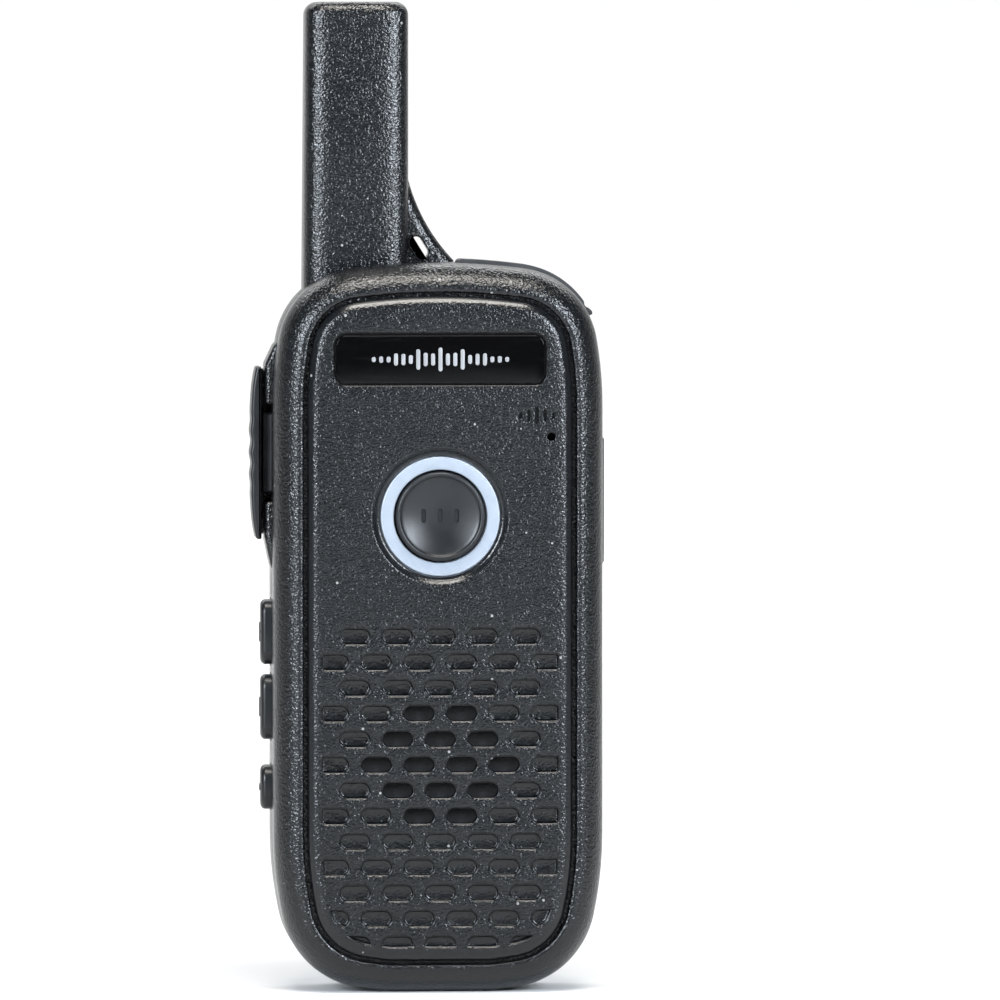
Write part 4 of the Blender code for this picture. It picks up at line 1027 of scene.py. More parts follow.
def piece(
    name: str,
    mesh: bpy.types.Mesh,
    slot: Slot,
    body: str,
    replaces: Sequence[str] = (),
    finish: object = None,
    crease: float = 32.0,
) -> bpy.types.Object:
    """Puts a finished mesh in the scene as a piece of the radio.

    Args:
        name: The piece's name.
        mesh: Its mesh, with its place in it.
        slot: The record's slot that it takes its finish from.
        body: The body it rides on.
        replaces: The CAD nodes that it stands for.
        finish: Another finish than the slot's own.
        crease: Angle in degrees past which an edge stays sharp.

    Returns:
        The object.
    """
    mesh.materials.clear()
    mesh.materials.append(Wardrobe.of(finish or slot.value))
    mesh.shade_smooth()
    mesh.set_sharp_from_angle(angle=math.radians(crease))
    obj = bpy.data.objects.new(name, mesh)
    link(obj)
    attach(obj, body)
    if replaces:
        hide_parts(*replaces)
    LOG.info("%s: %d faces, on %s", name, len(mesh.polygons), body)
    return obj


# ---- the front ----
BOSSES = ((-16.8, 101.2), (16.8, 101.2), (-15.6, 9.6), (15.6, 9.6))  # (x, z), two at the top first
CLIP_SCREWS = ((-5.2, 81.8), (5.2, 81.8))
MIC_PLACE = (16.8, 84.2)


@dataclass
class FrontCase:
    """The rounded frame round the front, with its inner ledge and four screw posts."""

    case: Case
    bezel: float = 4.4
    rounding: float = 5.9
    ledge_y: float = -9.7
    ledge_thickness: float = 1.2
    ledge_reach: float = 2.7
    post_radius: float = 2.4
    post_end: float = -4.3
    pilot_radius: float = 1.1
    roll: float = math.radians(76)
    lip_radius: float = 0.46
    mic_room: float = 3.1

    def profile(self) -> Array:
        """The frame's section as (inward offset, y) stations.

        From the seam the outside runs forwards, turns in along a quarter ellipse and rolls over a
        small lip into the groove. The inside is the wall behind the ledge.

        Returns:
            Array of shape (stations, 2).
        """
        start = self.case.front_y + self.rounding
        turn = np.linspace(0, self.roll, 17)
        reach, rise = self.bezel + 0.4, self.rounding - 0.25
        outside = columns(reach * (1 - np.cos(turn)), start - rise * np.sin(turn))
        lip_y = outside[-1, 1] + 0.5
        lip = arc((self.bezel - self.lip_radius, lip_y), self.lip_radius, -math.radians(105), 0.0, 6)
        lip[:, 1] = np.minimum(lip[:, 1], lip_y)
        behind = self.ledge_y + self.ledge_thickness
        wall, inner = self.case.wall, self.bezel + self.ledge_reach
        seam = self.case.seam_y
        edge = [(offset, seam - step) for offset, step in self.case.seam_edge]
        inward = [
            (self.bezel, self.ledge_y), (inner, self.ledge_y), (inner, behind), (wall, behind), (wall, seam),
        ]
        return np.concatenate([edge, outside, lip[1:], inward])

    def build(self) -> None:
        """Lofts the frame round the case and adds the posts behind the ledge."""
        offsets, levels = self.profile().T
        rings = stand([self.case.ring(offset) for offset in offsets], levels, Axis.Y)
        shell = Surface().loft(rings, looped=True).mesh("front_case")
        foot = self.ledge_y + self.ledge_thickness / 2
        steps = []
        for number, place in enumerate(BOSSES, 1):
            post = [(self.post_radius, foot), (self.post_radius, self.post_end)]
            steps.append(join(f"post_{number}", turned(post, Axis.Y, place, 32)))
            pilot = [(self.pilot_radius, foot + 1), (self.pilot_radius, self.post_end + 1)]
            steps.append(take(f"pilot_{number}", turned(pilot, Axis.Y, place, 20)))
        mic = [(self.mic_room, self.case.front_y + 1), (self.mic_room, self.case.seam_y)]
        steps.append(take("mic_room", turned(mic, Axis.Y, MIC_PLACE, 40)))
        piece("front_case", carve(shell, *steps), Slot.SHELL, "housing", ["front_shell"])


@dataclass
class Hole:
    """An opening in the front panel: its outline at any growth, and its section below the face."""

    outline: Callable[[float], Array]
    section: list[tuple[float, float, float]]  # growth, depth below the face, share of grain
    through: bool = False

    def mouth(self) -> Array:
        """The outline where it meets the face."""
        return self.outline(self.section[0][0])


@dataclass
class FacePanel:
    """The flat insert in the front, with the talk button's dish, the plate's recess and the slots."""

    case: Case
    edge: float = 4.95
    back_y: float = -10.0
    edge_y: float = -11.2
    face_y: float = -12.2
    crown_reach: float = 3.5
    crown_power: float = 4.8
    slot_size: tuple[float, float] = (4.5, 2.2)
    slot_pitch: tuple[float, float] = (6.45, 3.88)
    slot_first: float = 7.5
    slot_rows: int = 13
    slots_in_row: int = 5
    slot_depth: float = 1.8
    foot_slot_depth: float = 0.9
    slot_margin: float = 2.25
    slot_foot_round: float = 0.2
    speaker_z: float = 34.5
    speaker_open: float = 10.6
    talk_z: float = 72.2
    ring_radius: float = 9.3
    dish_slope: float = 1.25
    dish_depth: float = 0.7
    plate_size: tuple[float, float] = (31.4, 7.2)
    plate_z: float = 95.9
    plate_gap: float = 0.3
    recess_corner: float = 1.8
    recess_depth: float = 0.8
    mic_radius: float = 0.6
    stroke_halves: tuple[float, ...] = (0.45, 0.85, 1.25, 0.85, 0.45)
    stroke_pitch: float = 1.25
    stroke_depth: float = 0.42
    wave_bars: int = 19
    wave_pitch: float = 1.12

    def crown(self, away: Array) -> Array:
        """Level of the face at a distance inside the case's outline.

        It falls from the edge by (1 - share)^power of the whole step, and is flat further in.

        Args:
            away: Distances from the outline.

        Returns:
            Levels, in the same shape.
        """
        share = np.clip((away - self.edge) / self.crown_reach, 0, 1)
        return self.face_y + (self.edge_y - self.face_y) * (1 - share) ** self.crown_power

    def face(self, points: Array) -> Array:
        """Level of the face at points (x, z)."""
        return self.crown(self.case.inwards(points)[0])

    def rim(self, round_off: float) -> list[tuple[float, float, float]]:
        """Section of a rounded rim: a quarter circle from the grained face down to a smooth wall.

        Args:
            round_off: Radius of the quarter circle.

        Returns:
            Stations for a hole's section.
        """
        turn = np.linspace(0, QUARTER, 5)
        growth, depth = round_off * (1 - np.sin(turn)), round_off * (1 - np.cos(turn))
        return [(g, d, 0.0 if d else 1.0) for g, d in zip(growth.tolist(), depth.tolist())]

    def slot(self, x: float, z: float) -> Hole | None:
        """One slot, cut short where it would come too near the panel's edge.

        Args:
            x: Its middle, across.
            z: Its middle, up.

        Returns:
            The opening.
        """
        half_l, half_h = self.slot_size[0] / 2, self.slot_size[1] / 2

        def outline(growth: float) -> Array:
            """The slot grown, its points moved back to the field's own limit."""
            points = rounded_box(half_l + growth, half_h + growth, (half_h + growth) * 0.999, (x, z), 8)
            away, inward = self.case.inwards(points)
            short = np.maximum(self.edge + self.slot_margin - growth - away, 0)
            return points + inward * short[:, None]

        is_open = math.hypot(x, z - self.speaker_z) < self.speaker_open
        section = self.rim(0.30)
        if not is_open:
            turn = np.linspace(0, QUARTER, 4)
            depth = self.slot_depth if z > self.speaker_z - self.speaker_open else self.foot_slot_depth
            bend = self.slot_foot_round
            foot = columns(-bend * (1 - np.cos(turn)), depth - bend + bend * np.sin(turn))
            section += [(g, d, 0.6) for g, d in foot.tolist()]
        return Hole(outline, section, is_open)

    def slots(self) -> list[Hole]:
        """Every slot: rows of five and of six in turn, staggered by half a pitch.

        Returns:
            The openings, from the lowest row up.
        """
        made = []
        for row in range(self.slot_rows):
            count = self.slots_in_row + row % 2
            z = self.slot_first + row * self.slot_pitch[1]
            made += [self.slot((i - (count - 1) / 2) * self.slot_pitch[0], z) for i in range(count)]
        return made

    def dish(self) -> Hole:
        """The round dish about the talk button: an S-shaped slope, then a wall.

        Returns:
            The opening.
        """
        share = np.linspace(0, 1, 13)
        growth, depth = self.dish_slope * (1 - share), self.dish_depth * share**2 * (3 - 2 * share)
        section = [(g, d, 1.0 if g > 1.0 else 0.35) for g, d in zip(growth.tolist(), depth.tolist())]
        return Hole(lambda grow: circle(self.ring_radius + grow, (0.0, self.talk_z), 128), section, True)

    def recess(self) -> Hole:
        """The shallow recess that the name plate is bonded in.

        Returns:
            The opening.
        """
        half_w, half_h = (size / 2 + self.plate_gap for size in self.plate_size)
        corner, place = self.recess_corner, (0.0, self.plate_z)
        section = [*self.rim(0.22), (0.0, self.recess_depth, 0.0)]
        return Hole(lambda grow: rounded_box(half_w + grow, half_h + grow, corner + grow, place, 10), section)

    def mic_hole(self) -> Hole:
        """The microphone's hole."""
        return Hole(lambda grow: circle(self.mic_radius + grow, MIC_PLACE, 24), self.rim(0.14), True)

    def voice_mark(self) -> list[Hole]:
        """Five engraved strokes over the microphone, tallest in the middle.

        Returns:
            The strokes as blind openings.
        """
        middle = MIC_PLACE[0] - 2.2
        marks = []
        for step, half in enumerate(self.stroke_halves, -(len(self.stroke_halves) // 2)):
            place = (middle + self.stroke_pitch * step, MIC_PLACE[1] + 3.2)
            marks.append(Hole(
                lambda grow, at=place, tall=half: rounded_box(0.2 + grow, tall + grow, 0.19 + grow, at, 4),
                [*self.rim(0.08), (0.0, self.stroke_depth, 0.0)],
            ))
        return marks

    def flat(
        self, outer: Array, outer_inset: Array, holes: Sequence[Hole], grown: bool
    ) -> tuple[Array, Array]:
        """Triangles between an outer outline and the holes in it.

        Free points on a coarse grid, and on rings near the edge, keep the triangles even. Triangles
        outside the outline or inside a hole are dropped.

        Args:
            outer: The outer outline.
            outer_inset: Further free points near the edge.
            holes: The openings.
            grown: Whether their mouths are used, rather than their walls.

        Returns:
            Points of shape (n, 2) and triangles of shape (m, 3).
        """
        loops = [outer] + [hole.mouth() if grown else hole.outline(0.0) for hole in holes]
        starts = np.cumsum([0] + [len(loop) for loop in loops])
        across, up = np.meshgrid(np.arange(-20, 20.1, 1.6), np.arange(4, 108, 1.6))
        free = np.concatenate([outer_inset, columns(across.ravel(), up.ravel())])
        free = free[inside(inset(outer, 0.25), free)]
        for loop in loops[1:]:
            free = free[~inside(inset(anticlockwise(loop), -0.25), free)]
        sides = [
            (int(a), int(b))
            for start, loop in zip(starts, loops)
            for a, b in zip(range(start, start + len(loop)), [*range(start + 1, start + len(loop)), start])
        ]
        points = np.concatenate([*loops, free])
        made = delaunay_2d_cdt([Vector(p) for p in points.tolist()], sides, [], 0, 1e-6, False)
        corners = np.array([tuple(v) for v in made[0]])
        triangles = np.array(made[2])
        middles = corners[triangles].mean(axis=1)
        keep = inside(outer, middles)
        for loop in loops[1:]:
            near = np.abs(middles - loop.mean(axis=0)).max(axis=1) < np.ptp(loop, axis=0).max()
            found = np.flatnonzero(keep & near)
            keep[found[inside(loop, middles[found])]] = False
        return corners, triangles[keep]

    def panel(self) -> bpy.types.Mesh:
        """The whole panel: its face and back, its rolled edge, and the walls of its openings.

        Returns:
            The mesh.
        """
        holes = [*self.slots(), self.dish(), self.recess(), self.mic_hole(), *self.voice_mark()]
        made = Surface()
        roll = self.edge + np.array([1.15, 0.95, 0.75, 0.55, 0.38, 0.24, 0.12, 0.04, 0.0])
        rings = [self.case.ring(offset) for offset in [*roll, self.edge, self.edge]]
        levels = [*self.crown(roll), self.edge_y + 0.25, self.back_y]
        grain = [1.0, 0.7, 0.35, 0.1, 0.0, 0.0, 0.0, 0.0, 0.0, 0.0, 0.0]
        made.loft(stand(rings, levels, Axis.Y), caps=(False, False), grain=grain)
        near_edge = np.concatenate([self.case.ring(self.edge + d) for d in (1.45, 1.8, 2.3, 2.9, 3.5)])
        points, triangles = self.flat(rings[0], near_edge, holes, True)
        made.add(columns(points[:, 0], self.face(points), points[:, 1]), triangles)
        open_holes = [hole for hole in holes if hole.through]
        points, triangles = self.flat(rings[-1], np.zeros((0, 2)), open_holes, False)
        back = np.full(len(points), self.back_y)
        made.add(columns(points[:, 0], back, points[:, 1]), triangles, 0.0)
        for hole in holes:
            outlines = [hole.outline(growth) for growth, _, _ in hole.section]
            levels = [self.face(line) + depth for line, (_, depth, _) in zip(outlines, hole.section)]
            grain = [share for _, _, share in hole.section]
            if hole.through:
                outlines.append(hole.outline(0.0))
                levels.append(np.full(len(outlines[-1]), self.back_y))
                grain.append(0.0)
            rings = [columns(line[:, 0], level, line[:, 1]) for line, level in zip(outlines, levels)]
            made.loft(np.stack(rings), caps=(False, not hole.through), grain=grain)
        return made.mesh("face_panel")

    def build(self) -> None:
        """Makes the panel, the felt behind its microphone hole, the name plate and the mark on it."""
        disc = [(0.95, self.back_y + 0.02), (0.95, self.back_y + 0.2)]
        piece("mic_felt", solid("mic_felt", turned(disc, Axis.Y, MIC_PLACE, 24)), Slot.FELT, "housing")
        piece("face_panel", self.panel(), Slot.PANEL, "housing", ["front_panel"], crease=40)
        half_w, half_h = self.plate_size[0] / 2, self.plate_size[1] / 2
        outline = rounded_box(half_w, half_h, 1.5, (0.0, self.plate_z), 12)
        plate = solid("plate", soft_block(outline, Axis.Y, self.face_y, self.face_y + 0.5, (0.12, 0.0)))
        piece("gloss_plate", plate, Slot.PLATE, "housing", ["name_plate"])
        wave = solid("wave_mark", *self.wave())
        piece("wave_mark", wave, Slot.PLATE, "housing", finish=SILVER_INK)

    def wave(self) -> list[Array]:
        """Rings of the waveform's bars.

        A bar's half height is 0.35 + 1.45 * swell * (0.62 + 0.38 cos(2.2 n)), where n is its place
        from the middle and the swell is a power of the cosine that ends at the last bar.

        Returns:
            The rings of each bar.
        """
        bars = []
        for step in range(self.wave_bars):
            place = step - (self.wave_bars - 1) / 2
            swell = math.cos(place / self.wave_bars * math.pi) ** 1.4
            tall = 0.35 + 1.45 * swell * (0.62 + 0.38 * math.cos(place * 2.2))
            line = rounded_box(0.30, tall, 0.28, (place * self.wave_pitch, self.plate_z), 5)
            bars.append(soft_block(line, Axis.Y, self.face_y - 0.03, self.face_y + 0.1, (0.02, 0.0)))
        return bars


@dataclass
class TalkButton:
    """The round button in the front and the pale ring that lights round it."""

    z: float = 72.2
    radius: float = 6.75
    bowl_radius: float = 5.9
    bowl_sink: float = 1.05
    bowl_edge: float = 0.34
    front_y: float = -12.75
    ring_inner: float = 7.05
    ring_outer: float = 9.0
    ring_y: float = -11.9
    ring_flange: tuple[float, float] = (-9.7, -9.0)
    ring_ease: float = 0.16
    cap_flange: tuple[float, float] = (-8.7, -8.1)
    post_radius: float = 1.5
    post_end: float = -6.95
    stroke_pitch: float = 2.5

    def bowl_level(self, away: Array | float) -> Array | float:
        """Level of the bowl at a distance from its middle: it sinks as 1 - (r / edge)^2."""
        return self.front_y + self.bowl_edge + self.bowl_sink * (1 - (away / self.bowl_radius) ** 2)

    def ring(self) -> Array:
        """Rings of the light guide: a flat face with eased edges, and a flange behind the panel.

        Returns:
            The rings.
        """
        ease, face = self.ring_ease, self.ring_y
        flange, back = self.ring_flange
        turn = np.linspace(0, QUARTER, 4)
        shift, level = ease * (1 - np.sin(turn)), face + ease * (1 - np.cos(turn))
        inner, outer = columns(self.ring_inner + shift, level)[::-1], columns(self.ring_outer - shift, level)
        rest = [
            (self.ring_outer, flange), (self.ring_outer + 1, flange), (self.ring_outer + 1, back),
            (self.ring_inner, back),
        ]
        return turned(np.concatenate([inner, outer, rest]), Axis.Y, (0.0, self.z), 128)

    def cap(self) -> Array:
        """Rings of the button.

        The wall rolls over a narrow rim. Inside the rim a bowl sinks as 1 - (r / edge)^2, and
        behind the panel are the flange and the post.

        Returns:
            The rings.
        """
        rim_top, radius = self.front_y, self.radius
        bowl = np.linspace(0.02, 1.0, 14) * self.bowl_radius
        inner = columns(bowl, self.bowl_level(bowl))
        lip = arc((radius - 0.42, rim_top + 0.36), 0.36, -math.radians(165), 0.0, 7)
        lip[:, 0] = np.maximum(lip[:, 0], self.bowl_radius + 0.02)
        flange, back = self.cap_flange
        wall = [
            (radius - 0.04, rim_top + 0.62), (radius, rim_top + 0.9), (radius, flange),
            (radius + 1, flange), (radius + 1, back), (self.post_radius, back),
            (self.post_radius, self.post_end),
        ]
        return turned(np.concatenate([inner, lip, wall]), Axis.Y, (0.0, self.z), 96)

    def build(self) -> None:
        """Makes the ring, the button and the three sunk strokes to feel for."""
        guide = Surface().loft(self.ring(), looped=True).mesh("talk_ring")
        piece("talk_ring", guide, Slot.GUIDE, "housing", ["talk_light_ring"])
        strokes = []
        for step in (-1, 0, 1):
            x = self.stroke_pitch * step
            level = self.bowl_level(x)
            line = rounded_box(0.36, 1.05, 0.34, (x, self.z + 0.1), 6)
            strokes.append(take("stroke", soft_block(line, Axis.Y, level - 1.2, level + 0.32)))
        cap = carve(solid("talk_cap", self.cap()), *strokes)
        piece("talk_cap", cap, Slot.KEY, "front_talk", ["front_talk_button"], crease=38)


# ---- the rear shell ----
@dataclass
class Keys:
    """Places and sizes of the keys on the left side."""

    y: float = 1.6
    side: float = -25.0
    talk_low: float = 68.4
    talk_high: float = 94.6
    notch_low: float = 74.15
    notch_high: float = 88.85
    pad_half: float = 2.6
    pads: tuple[tuple[str, float, float, float], ...] = (  # name, z, length, corner
        ("volume_up", 54.2, 9.9, 2.2),
        ("volume_down", 42.8, 9.9, 2.2),
        ("function", 30.6, 6.8, 2.5),
    )


@dataclass
class Covers:
    """Places and sizes of the two rubber covers and the sockets under them."""

    case: Case
    proud: float = 0.6
    sink: float = 0.75
    top_x: float = 3.9
    top_end: float = math.radians(65)
    top_low: float = -2.7
    top_high: float = 4.4
    jack_y: float = 1.7
    jack_half: float = 3.4
    jack_low: float = 64.4
    jack_high: float = 83.9
    jacks: tuple[tuple[str, float, float], ...] = (  # name, radius, z
        ("small", 1.3, 69.05),
        ("large", 1.8, 80.05),
    )
    usb: tuple[float, float, float, float] = (9.4, -0.3, 9.0, 3.2)  # x, y, width, height

    @property
    def pivot_radius(self) -> float:
        """Radius of each cover's round hinge end."""
        return (self.proud + self.sink) / 2

    def top_pivot(self) -> Array:
        """(x, z) of the top cover's hinge."""
        return self.case.top_point(self.case.top.angle_at(self.top_x), (self.sink - self.proud) / 2)

    def top_outline(self, proud: Array | float, sink: float, radius: float, more: float) -> Array:
        """(x, z) outline of the strip over the corner, round at its hinge and square at its end.

        Args:
            proud: Height over the case, for all or each of its 40 steps.
            sink: Depth of its underside.
            radius: Radius of the hinge end.
            more: Angle by which it runs on past its end.

        Returns:
            The outline.
        """
        start, end = self.case.top.angle_at(self.top_x), self.top_end + more
        turn = np.linspace(start, end, 40)
        outer = self.case.top_point(turn, -np.asarray(proud) * np.ones_like(turn))[::-1]
        inner = self.case.top_point(turn, sink)
        hinge = arc(self.top_pivot(), radius, QUARTER, 3 * QUARTER, 10)[1:-1]
        return anticlockwise(np.concatenate([hinge, inner, outer]))

    def jack_pivot(self) -> tuple[float, float]:
        """(x, z) of the jack cover's hinge."""
        return self.case.top.half - (self.sink - self.proud) / 2, self.jack_low + self.pivot_radius

    def jack_outline(self, grow: float, reach: float) -> Array:
        """(x, z) outline of the flap on the right side, round at its hinge.

        Args:
            grow: How much larger it is than the flap, all round.
            reach: How far it stands out past the flap, or 0 for the flap itself.

        Returns:
            The outline.
        """
        x, z = self.jack_pivot()
        radius = self.pivot_radius + grow
        far, high = x + radius + reach, self.jack_high + grow
        hinge = arc((x, z), radius, math.pi, 2 * math.pi, 12)
        near = x - radius
        if reach:
            end = np.array([(far, z), (far, high), (near, high)])
        else:
            corners = [(far, z + 1), (far, high), (near, high), (near, z + 1)]
            end = rounded_polygon(corners, np.array([0.01, 0.55, 0.1, 0.01]), 5)
        return anticlockwise(np.concatenate([hinge, end]))


@dataclass
class RearCase:
    """The rear half of the case with the antenna, its web and the shoulder moulded on."""

    case: Case
    keys: Keys
    covers: Covers
    back_round: tuple[float, float] = (4.5, 6.0)
    antenna_x: float = -12.1
    antenna_y: float = 3.6
    antenna_half: tuple[float, float] = (8.1, 6.0)
    antenna_power: float = 4.3
    antenna_top: float = 149.9
    tip_round: float = 2.0
    taper: float = 0.2
    web_arc: float = 28.0
    web_size: tuple[float, float] = (7.6, 12.8)  # reach over the case, rise up the antenna
    web_half: float = 2.3
    web_round: float = 1.75
    eye_half: tuple[float, float] = (1.8, 0.9)
    eye_turn: float = math.radians(-58)
    eye_rim: float = 2.5
    key_gap: float = 0.3
    key_cut: tuple[float, float] = (-29, -22)
    cavity_y: float = 8.0
    door_floor: float = 10.0
    bay_floor: float = 3.5
    bay_half: float = 17.0
    bay_z: tuple[float, float] = (14.0, 62.4)

    def outer(self) -> Array:
        """Rings of the half without its openings: a quarter ellipse leads into the back.

        Returns:
            The rings.
        """
        across, deep = self.back_round
        start = self.case.back_y - deep
        turn = np.linspace(0, QUARTER, 14)
        rim = self.case.rear_y
        rounded = [(across * (1 - math.cos(a)), start + deep * math.sin(a)) for a in turn]
        profile = [*((offset, rim + step) for offset, step in self.case.seam_edge), *rounded]
        return stand([self.case.ring(o) for o, _ in profile], [y for _, y in profile], Axis.Y)

    def antenna_section(self, shrink: float, lean: float) -> Array:
        """The antenna's section: |x / a|^n + |y / b|^n = 1, which is a softly rounded box.

        Args:
            shrink: How much smaller it is on every side.
            lean: How far it is moved towards +X.

        Returns:
            The section, in x and y.
        """
        half_w, half_d = self.antenna_half
        turn = np.linspace(0, 2 * math.pi, 144, endpoint=False)
        power = 2 / self.antenna_power
        way = columns(np.cos(turn), np.sin(turn))
        half = np.array((half_w - shrink, half_d - shrink))
        return (self.antenna_x + lean, self.antenna_y) + half * np.sign(way) * np.abs(way) ** power

    def antenna(self) -> Array:
        """Rings of the antenna: straight, with a quarter-round tip.

        Returns:
            The rings.
        """
        tip, taper = self.tip_round, self.taper
        turn = np.linspace(0, QUARTER, 10)
        shrink = taper + tip * (1 - np.cos(turn))
        level = self.antenna_top - tip + tip * np.sin(turn)
        sections = [self.antenna_section(0, 0)] + [self.antenna_section(s, taper) for s in shrink.tolist()]
        return stand(sections, [self.case.below(10.9), *level], Axis.Z)

    def web(self) -> tuple[Array, Array]:
        """The web beside the antenna, its free edge one concave arc, well rounded.

        Returns:
            Rings of the web, and rings of the raised rim round the lanyard slot.
        """
        root = self.antenna_x + self.antenna_half[0]
        reach, up = self.web_size
        start, end = np.array((root, self.case.height + up)), np.array((root + reach, self.case.below(0.4)))
        chord, radius = end - start, self.web_arc
        rise = math.sqrt(radius**2 - float(chord @ chord) / 4)
        centre = (start + end) / 2 + unit(np.array((-chord[1], chord[0]))) * rise
        first, last = (math.atan2(*(p - centre)[::-1]) % (2 * math.pi) for p in (start, end))
        edge = arc(centre, radius, first - 0.12, last + 0.10, 40)
        low, left = self.case.below(5.5), root - 6.5
        outline = anticlockwise(np.concatenate([edge, [(edge[-1, 0], low), (left, low), (left, edge[0, 1])]]))
        y, half, rim_half = self.antenna_y, self.web_half, self.eye_rim
        body = soft_block(outline, Axis.Y, y - half, y + half, self.web_round)
        rim = soft_block(self.eye(0.5), Axis.Y, y - rim_half, y + rim_half, 0.22)
        return body, rim

    def eye(self, grow: float) -> Array:
        """(x, z) outline of the slanting lanyard slot.

        Args:
            grow: How much larger it is, all round.

        Returns:
            The outline.
        """
        turn = self.eye_turn
        half_l, half_h = self.eye_half
        line = rounded_box(half_l + grow, half_h + grow, (half_h + grow) * 0.999, segments=10)
        spin = np.array([(math.cos(turn), math.sin(turn)), (-math.sin(turn), math.cos(turn))])
        return line @ spin + (-2.3, self.case.height + 2.2)

    def eye_cutter(self) -> Array:
        """Rings of the slot's hole, flared at both mouths.

        Returns:
            The rings.
        """
        y, half = self.antenna_y, self.eye_rim
        stations = [(0.55, -half - 0.4), (0.22, -half), (0.06, -half + 0.12), (0.0, -half + 0.32)]
        stations += [(g, -level) for g, level in reversed(stations)]
        return stand([self.eye(g) for g, _ in stations], [y + level for _, level in stations], Axis.Y)

    def shoulders(self) -> list[Array]:
        """Rings of the raised ground under the side talk key, one above its notch and one below.

        Returns:
            The rings of both.
        """
        keys = self.keys
        out = keys.side - 1.0
        upper = [(-21.0, 99.6), (-24.35, 98.5), (out, 95.0), (out, keys.notch_high), (-21.0, keys.notch_high)]
        lower = [(-21.0, keys.notch_low), (out, keys.notch_low), (out, 68.2), (-24.9, 62.9), (-21.0, 61.8)]
        radii = np.array([0.1, 2.5, 1.6, 0.55, 0.1]), np.array([0.1, 0.55, 1.8, 3.0, 0.1])
        return [
            soft_block(anticlockwise(rounded_polygon(c, r)), Axis.Y, keys.y - 4.1, keys.y + 4.1, 0.7)
            for c, r in zip((upper, lower), radii)
        ]

    def fence(self) -> Array:
        """Rings of the low fence that closes the gap behind the side talk key.

        Returns:
            The rings.
        """
        keys = self.keys
        line = [(-21.0, 94.3), (-26.7, 94.3), (-26.7, 68.8), (-21.0, 68.8)]
        outline = anticlockwise(rounded_polygon(line, np.array([0.1, 1.2, 1.2, 0.1])))
        return soft_block(outline, Axis.Y, keys.y + 3.62, keys.y + 4.08, 0.12)

    def openings(self) -> list[Step]:
        """The steps that cut everything that passes through the walls.

        Returns:
            The steps, in order.
        """
        keys, covers = self.keys, self.covers
        neck = rounded_box(2.5, 6.6, 1.1, (keys.y, (keys.notch_low + keys.notch_high) / 2))
        steps = [take("neck_hole", soft_block(neck, Axis.X, *self.key_cut))]
        gap = self.key_gap
        for name, z, length, corner in keys.pads:
            hole = rounded_box(keys.pad_half + gap, length / 2 + gap, corner + gap, (keys.y, z))
            steps.append(take(f"{name}_hole", soft_block(hole, Axis.X, *self.key_cut)))
        seat = covers.top_outline(3.0, covers.sink + 0.3, covers.pivot_radius + 0.3, math.radians(2))
        steps.append(take("top_seat", soft_block(seat, Axis.Y, covers.top_low - 1, covers.top_high + 0.3)))
        x, y, width, height = covers.usb
        mouth_z = float(self.case.top_point(self.case.top.angle_at(x))[1])
        mouth = rounded_box(width / 2 + 0.2, height / 2 + 0.2, 1.5, (x, y))
        steps.append(take("usb_mouth", soft_block(mouth, Axis.Z, mouth_z - 4, mouth_z + 2)))
        low, high = covers.jack_y - covers.jack_half - 0.3, covers.jack_y + covers.jack_half + 0.3
        steps.append(take("jack_seat", soft_block(covers.jack_outline(0.3, 3.0), Axis.Y, low, high)))
        for name, radius, z in covers.jacks:
            bore = [(radius + 0.5, 22), (radius + 0.5, 26)]
            steps.append(take(f"{name}_mouth", turned(bore, Axis.X, (covers.jack_y, z), 40)))
        for step in (-1, 0, 1):
            slot = rounded_box(1.4, 1.3, 0.3, (5.0 * step, self.bay_floor + 2.5))
            top = self.bay_z[1]
            steps.append(take("contact_slot", soft_block(slot, Axis.Z, top - 1, top + 2.3)))
        for number, place in enumerate(BOSSES):
            face = self.door_floor if number > 1 else self.case.back_y
            seat = [(2.2, face - 1.4), (2.2, face - 0.12), (2.4, face), (2.6, 13.5)]
            steps.append(take("screw_hole", turned([(1.3, -4), (1.3, 13)], Axis.Y, place, 24)))
            steps.append(take("head_seat", turned(seat, Axis.Y, place, 36)))
        for place in CLIP_SCREWS:
            steps.append(take("clip_screw_hole", turned([(1.2, 7), (1.2, 13)], Axis.Y, place, 24)))
        return steps

    def door_section(self, grow: float, floor: float) -> Array:
        """(x, y) section of the dovetail that the battery door slides in.

        Args:
            grow: Gap on each side.
            floor: Level of its inner face.

        Returns:
            The section.
        """
        inner, lean = 18.9 + grow, 0.9 / 1.7
        near, far = self.case.back_y + 1, self.case.back_y + 4
        outer = max(inner - lean * (near - floor), inner - lean * (far - floor))
        half = [(inner, floor), (inner - lean * (near - floor), near), (outer, far)]
        return anticlockwise(np.array(half + [(-x, y) for x, y in reversed(half)]))

